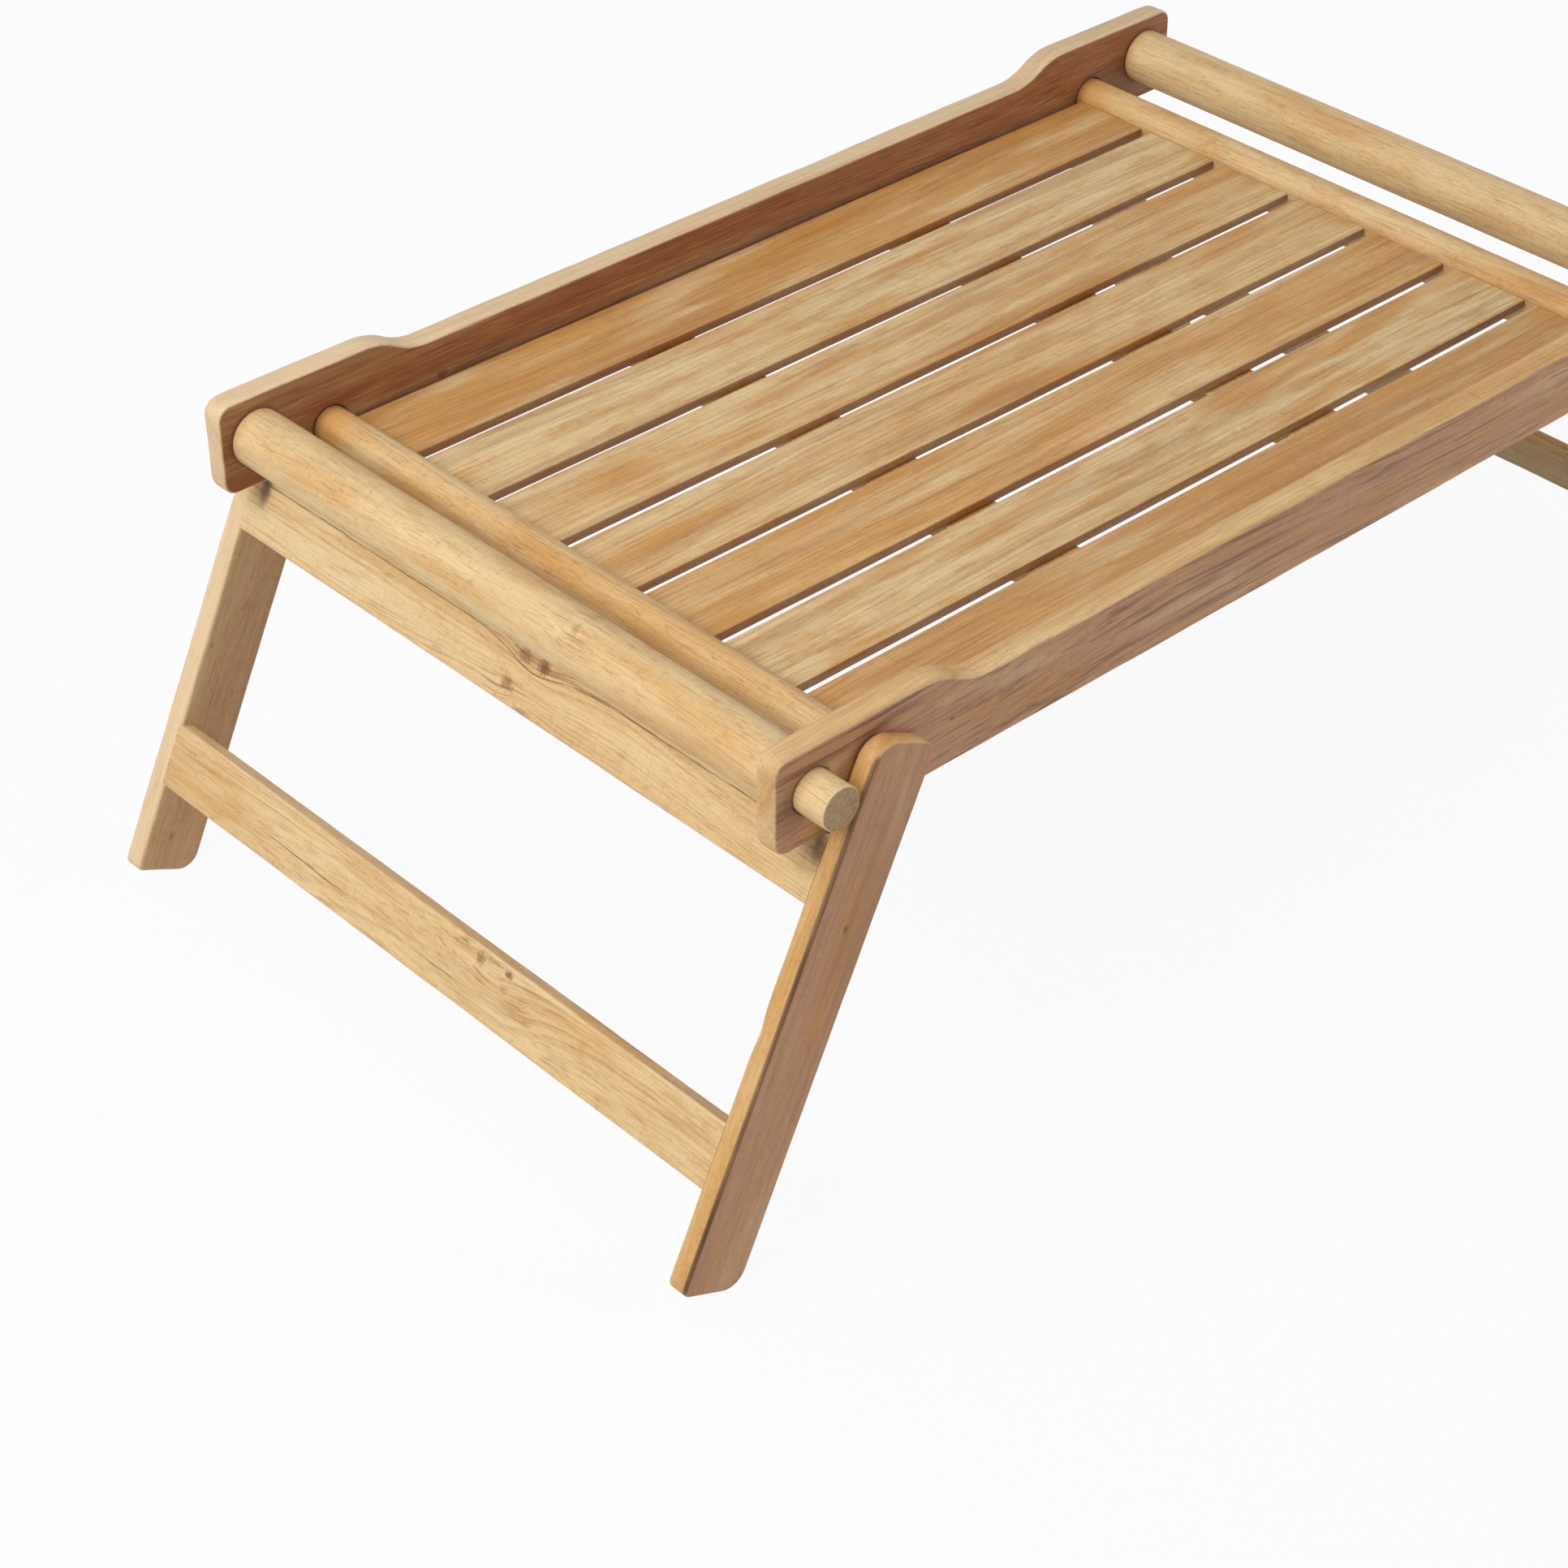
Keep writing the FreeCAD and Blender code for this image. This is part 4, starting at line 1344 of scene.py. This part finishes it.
def leg_corners(settings, low, high):
    back, front, top, foot = high.x, low.x, high.z, low.z
    brow, nape = settings.leg_brow, settings.leg_nape
    toe, heel = settings.foot_front, settings.foot_back
    return [
        (front + toe, foot),
        (back - heel, foot, heel, 1),
        (back, foot + heel),
        (back, top - nape, nape, 1),
        (back - nape, top),
        (front + brow, top, brow, 1),
        (front, top - brow),
        (front, foot + toe, toe, 1),
    ]


LEG_TIMBER = {
    ("left", "front"): {"pith": (20, -52), "seed": 21, "tone": (0.45, 1), "heart": (80, 90),
                        "contrast": ("blush", "streak"), "brown": 0.3, "streaks": 0.28,
                        "strands": 0.16, "fibres": 0.3, "lines": 0.12, "rings": 0.12,
                        "mottle": 0.45, "cream": 0.02,
                        "stains": ((42, 1.7, 2.8, 1.8, 0.7),)},
    ("left", "back"): {"pith": (16, -50), "seed": 23, "tone": (0, 0.3), "heart": (20, 82),
                       "contrast": ("blush", "streak"), "cream": 0.45, "brown": 0.12,
                       "streaks": 0.22, "strands": 0.3, "fibres": 0.3, "rings": 0.2,
                       "mottle": 0.2,
                       "stains": ((-102.6, -2.6, 4, 1.6, 0.5), (-8, -12, 3, 1.2, 0.3))},
    ("right", "front"): {"pith": (35, 60), "seed": 25, "tone": (0.2, 0.9)},
    ("right", "back"): {"pith": (-45, 40), "seed": 27, "tone": (0.2, 0.9)},
}
LEG_SPACING = 3 * MM  # between points along a leg's outline
CHIP_PLACE = -110.5 * MM  # up the leg from its pivot
CHIP_LENGTH = 7 * MM
ARRIS_SHADE = 2  # half width in millimetres of the dark line, partly painted shade, along the edge beside the chip


class TRAY_OT_legs(bpy.types.Operator):
    """Make the four legs with their rounded tops and feet"""
    bl_idname = "tray.legs"
    bl_label = "Legs"
    bl_options = {"REGISTER", "UNDO"}

    def execute(self, context):
        settings = context.scene.tray_boards
        for hand, end in ENDS:
            placing = leg_axes(hand, end)
            up, inward = turned(placing, ALONG_Z), turned(placing, ALONG_X)
            for place, _ in SIDES:
                node = f"leg_{hand}_{place}"
                low, high = extent(node, placing)
                outline = drawn(leg_corners(settings, low, high), LEG_SPACING)
                traits = LEG_TIMBER[hand, place]
                outer_face = 1 if high.y > 0 else 0
                chipped = (hand, place) == ("left", "front")

                def edge_at(face, x, y):
                    if face == outer_face:
                        return settings.outer_edge, EDGE_RUB_AND_HIGHLIGHT
                    if chipped and x < 0:
                        chip = math.exp(-((y - CHIP_PLACE) / CHIP_LENGTH) ** 2)
                        return settings.inner_edge + settings.chip * chip, EDGE_RUB_AND_HIGHLIGHT + chip
                    return settings.inner_edge, EDGE_RUB_AND_HIGHLIGHT

                rings, wear, pale = outline_board(outline, high.y - low.y, edge_at,
                                                  traits["seed"])
                shifted = placing @ Matrix.Translation((0, low.y, 0))
                piece = loft(f"long_leg_{hand}_{place}", rings, wear, shifted, pale)
                timber = Timber(up, inward, middle_of(node), **traits)
                # The left front leg's outer front edge gets a dark line that is partly painted
                # shade.
                if chipped:
                    corner = placing @ Vector((low.x, low.y, 0)) - timber.middle
                    _, across, through = timber.turn() @ corner / MM
                    timber = timber._replace(arris=(across, through, ARRIS_SHADE))
                finish_piece(piece, wood(f"{node}_wood", timber), f"leg_frame_{hand}", "leg_wood",
                             node)
        return {"FINISHED"}


JOINT_REACH = 1 * MM  # how far a crossrail's end goes into a leg
CROSSRAIL_TIMBER = {
    ("left", "upper"): {
        "pith": (34, -48), "seed": 31, "tone": (0, 0.3), "brown": 0.08, "streaks": 0.03,
        "strands": 0.34, "lines": 0.25, "rings": 0.4, "ring_width": 1.6, "mottle": 0.3,
        "knots": ((-12, 12.5, 6), (0.5, -6, 3.2), (-12, -16, 3.6)),
        "stains": ((-4.5, 8.7, 6.5, 4.6, 0.62), (-17.4, 8.7, 5, 5.2, 0.85),
                   (0, -6, 5.5, 4.6, 0.65), (-12.5, -14, 6, 2.4, 0.5)),
        # shades: painted shade under the side rails, at both ends.
        "shades": ((171, 7.5, 5, 11, 0.8), (-180, 8, 6, 11, 0.85)),
        "veins": ((9.9, 6.4, -12, 20, 0.32, -146, 168), (12.4, 4, -14, 16, 0.2, -46, 60),
                  (10.6, 4.4, -13, 20, 0.18, -60, 20))},
    ("left", "lower"): {
        "pith": (-30, 52), "seed": 33, "tone": (0.05, 0.45), "streaks": 0.04, "brown": 0.12,
        "strands": 0.4, "lines": 0.25, "rings": 0.4, "ring_width": 1.8, "mottle": 0.5,
        "knots": ((-43, 13.5, 7.5),),
        "stains": ((-33.6, 9.8, 3.4, 4.6, 0.65), (-51.2, 11.2, 3.4, 2.2, 0.85),
                   (-43, 12.2, 10, 1.3, 0.45), (-50.5, 3.3, 3.4, 0.8, 0.4)),
        "veins": ((-3.4, 0.5, 62, 14, 0.28, 60, 100), (-5.5, 0, 0, 1, 0.2, -20, -4))},
    ("right", "upper"): {"pith": (44, 40), "seed": 35, "tone": (0.1, 0.6)},
    ("right", "lower"): {"pith": (-38, 46), "seed": 37, "tone": (0.1, 0.6)},
}


class TRAY_OT_crossrails(bpy.types.Operator):
    """Make the two crossrails of each leg frame"""
    bl_idname = "tray.crossrails"
    bl_label = "Crossrails"
    bl_options = {"REGISTER", "UNDO"}

    def execute(self, context):
        settings = context.scene.tray_boards
        for hand, end in ENDS:
            placing = leg_axes(hand, end)
            for level in ("upper", "lower"):
                node = f"crossrail_{level}_{hand}"
                low, high = extent(node, placing)
                traits = CROSSRAIL_TIMBER[hand, level]
                visible = high.y - low.y - 2 * (settings.tenon - JOINT_REACH)
                rings, wear = section_board(high.z - low.z, high.x - low.x, visible,
                                            settings.edge, traits["seed"])
                lie = Matrix((ALONG_Y, ALONG_Z, ALONG_X)).transposed().to_4x4()
                shifted = placing @ Matrix.Translation((low + high) / 2) @ lie
                piece = loft(f"stretcher_{level}_{hand}", rings, wear, shifted)
                timber = Timber(ALONG_Y, turned(placing, ALONG_Z), middle_of(node), **traits)
                finish_piece(piece, wood(f"{node}_wood", timber), f"leg_frame_{hand}",
                             "crossrail_wood", node)
        return {"FINISHED"}


# ---------------------------------------------------------------- studio

def white_to_camera(graph, surface, glow):
    """Mix a surface with even white for rays from the camera and for mirrored ones."""
    path = graph.node("ShaderNodeLightPath")
    seen = path.math("MAXIMUM", path.output("Is Glossy Ray"))
    seen = seen.math("MAXIMUM", path.output("Is Transmission Ray"))
    white = graph.node("ShaderNodeEmission", None, {"Color": (1, 1, 1, 1), "Strength": 1})
    return graph.node("ShaderNodeMixShader", None, {0: seen * glow, 1: surface, 2: white})


def make_floor(settings):
    half = settings.floor_size / 2
    mesh = bpy.data.meshes.new("floor")
    corners = [(-half, -half, 0), (half, -half, 0), (half, half, 0), (-half, half, 0)]
    mesh.from_pydata(corners, [], [(0, 1, 2, 3)])
    floor = add_object("floor", mesh)
    material, graph = new_material("pale_floor")
    surface = graph.node("ShaderNodeBsdfDiffuse", None, {"Color": rgba(settings.floor)})
    shown = white_to_camera(graph, surface, settings.floor_glow)
    graph.node("ShaderNodeOutputMaterial", None, {"Surface": shown})
    mesh.materials.append(material)


def make_sky(settings):
    world = bpy.data.worlds.new("studio")
    bpy.context.scene.world = world
    world.use_nodes = True
    graph = Graph(world.node_tree)
    light = graph.node("ShaderNodeBackground", None,
                       {"Color": (1, 1, 1, 1), "Strength": settings.sky})
    shown = white_to_camera(graph, light, 1)
    graph.node("ShaderNodeOutputWorld", None, {"Surface": shown})


LIT_PLACE = Vector((0, 0, 0.15))
LAMPS = (  # name, place and width; the sidebar has their power
    ("key", (-1.9, -0.1, 1.7), 1.5),
    ("top", (-0.2, 0.5, 2.4), 1.8),
    ("side", (1.5, -1.9, 0.9), 1.2),
)


def make_lamp(name, place, width, power):
    lamp = bpy.data.lights.new(name, "AREA")
    lamp.shape = "DISK"
    lamp.size = width
    lamp.energy = power
    stand = add_object(name, lamp)
    stand.location = place
    stand.rotation_euler = (LIT_PLACE - stand.location).to_track_quat("-Z", "Y").to_euler()


class TRAY_OT_stage(bpy.types.Operator):
    """Set up the pale floor, the soft light and the camera"""
    bl_idname = "tray.stage"
    bl_label = "Stage"
    bl_options = {"REGISTER", "UNDO"}

    def execute(self, context):
        settings = context.scene.tray_studio
        make_floor(settings)
        make_sky(settings)
        for name, place, width in LAMPS:
            make_lamp(f"{name}_light", place, width, getattr(settings, f"{name}_power"))
        lens = bpy.data.cameras.new("camera")
        lens.lens = settings.focal_length
        camera = add_object("camera", lens)
        camera.location = settings.camera_place
        camera.rotation_euler = settings.camera_turn
        context.scene.camera = camera
        context.scene.view_settings.view_transform = "Standard"
        return {"FINISHED"}


# ---------------------------------------------------------------- panel and registration

OPERATORS = (TRAY_OT_rails, TRAY_OT_handles, TRAY_OT_axles, TRAY_OT_slats, TRAY_OT_battens,
             TRAY_OT_screws, TRAY_OT_legs, TRAY_OT_crossrails, TRAY_OT_stage)


class TRAY_PT_panel(bpy.types.Panel):
    """Lists the pieces of the tray and their settings"""
    bl_idname = "TRAY_PT_panel"
    bl_label = "Bed Tray Table"
    bl_space_type = "VIEW_3D"
    bl_region_type = "UI"
    bl_category = "Bed Tray"

    def draw(self, context):
        for operator in OPERATORS:
            self.layout.operator(operator.bl_idname)
        for name, settings in SETTINGS.items():
            box = self.layout.box()
            box.label(text=name.removeprefix("tray_").capitalize())
            for field in settings.__annotations__:
                box.prop(getattr(context.scene, name), field)


def register():
    for settings in SETTINGS.values():
        bpy.utils.register_class(settings)
    for name, settings in SETTINGS.items():
        setattr(bpy.types.Scene, name, PointerProperty(type=settings))
    for operator in OPERATORS:
        bpy.utils.register_class(operator)
    bpy.utils.register_class(TRAY_PT_panel)


def unregister():
    bpy.utils.unregister_class(TRAY_PT_panel)
    for operator in reversed(OPERATORS):
        bpy.utils.unregister_class(operator)
    for name, settings in SETTINGS.items():
        delattr(bpy.types.Scene, name)
        bpy.utils.unregister_class(settings)


def main():
    register()
    for operator in OPERATORS:
        area, name = operator.bl_idname.split(".")
        getattr(getattr(bpy.ops, area), name)()


if __name__ == "__main__":
    main()
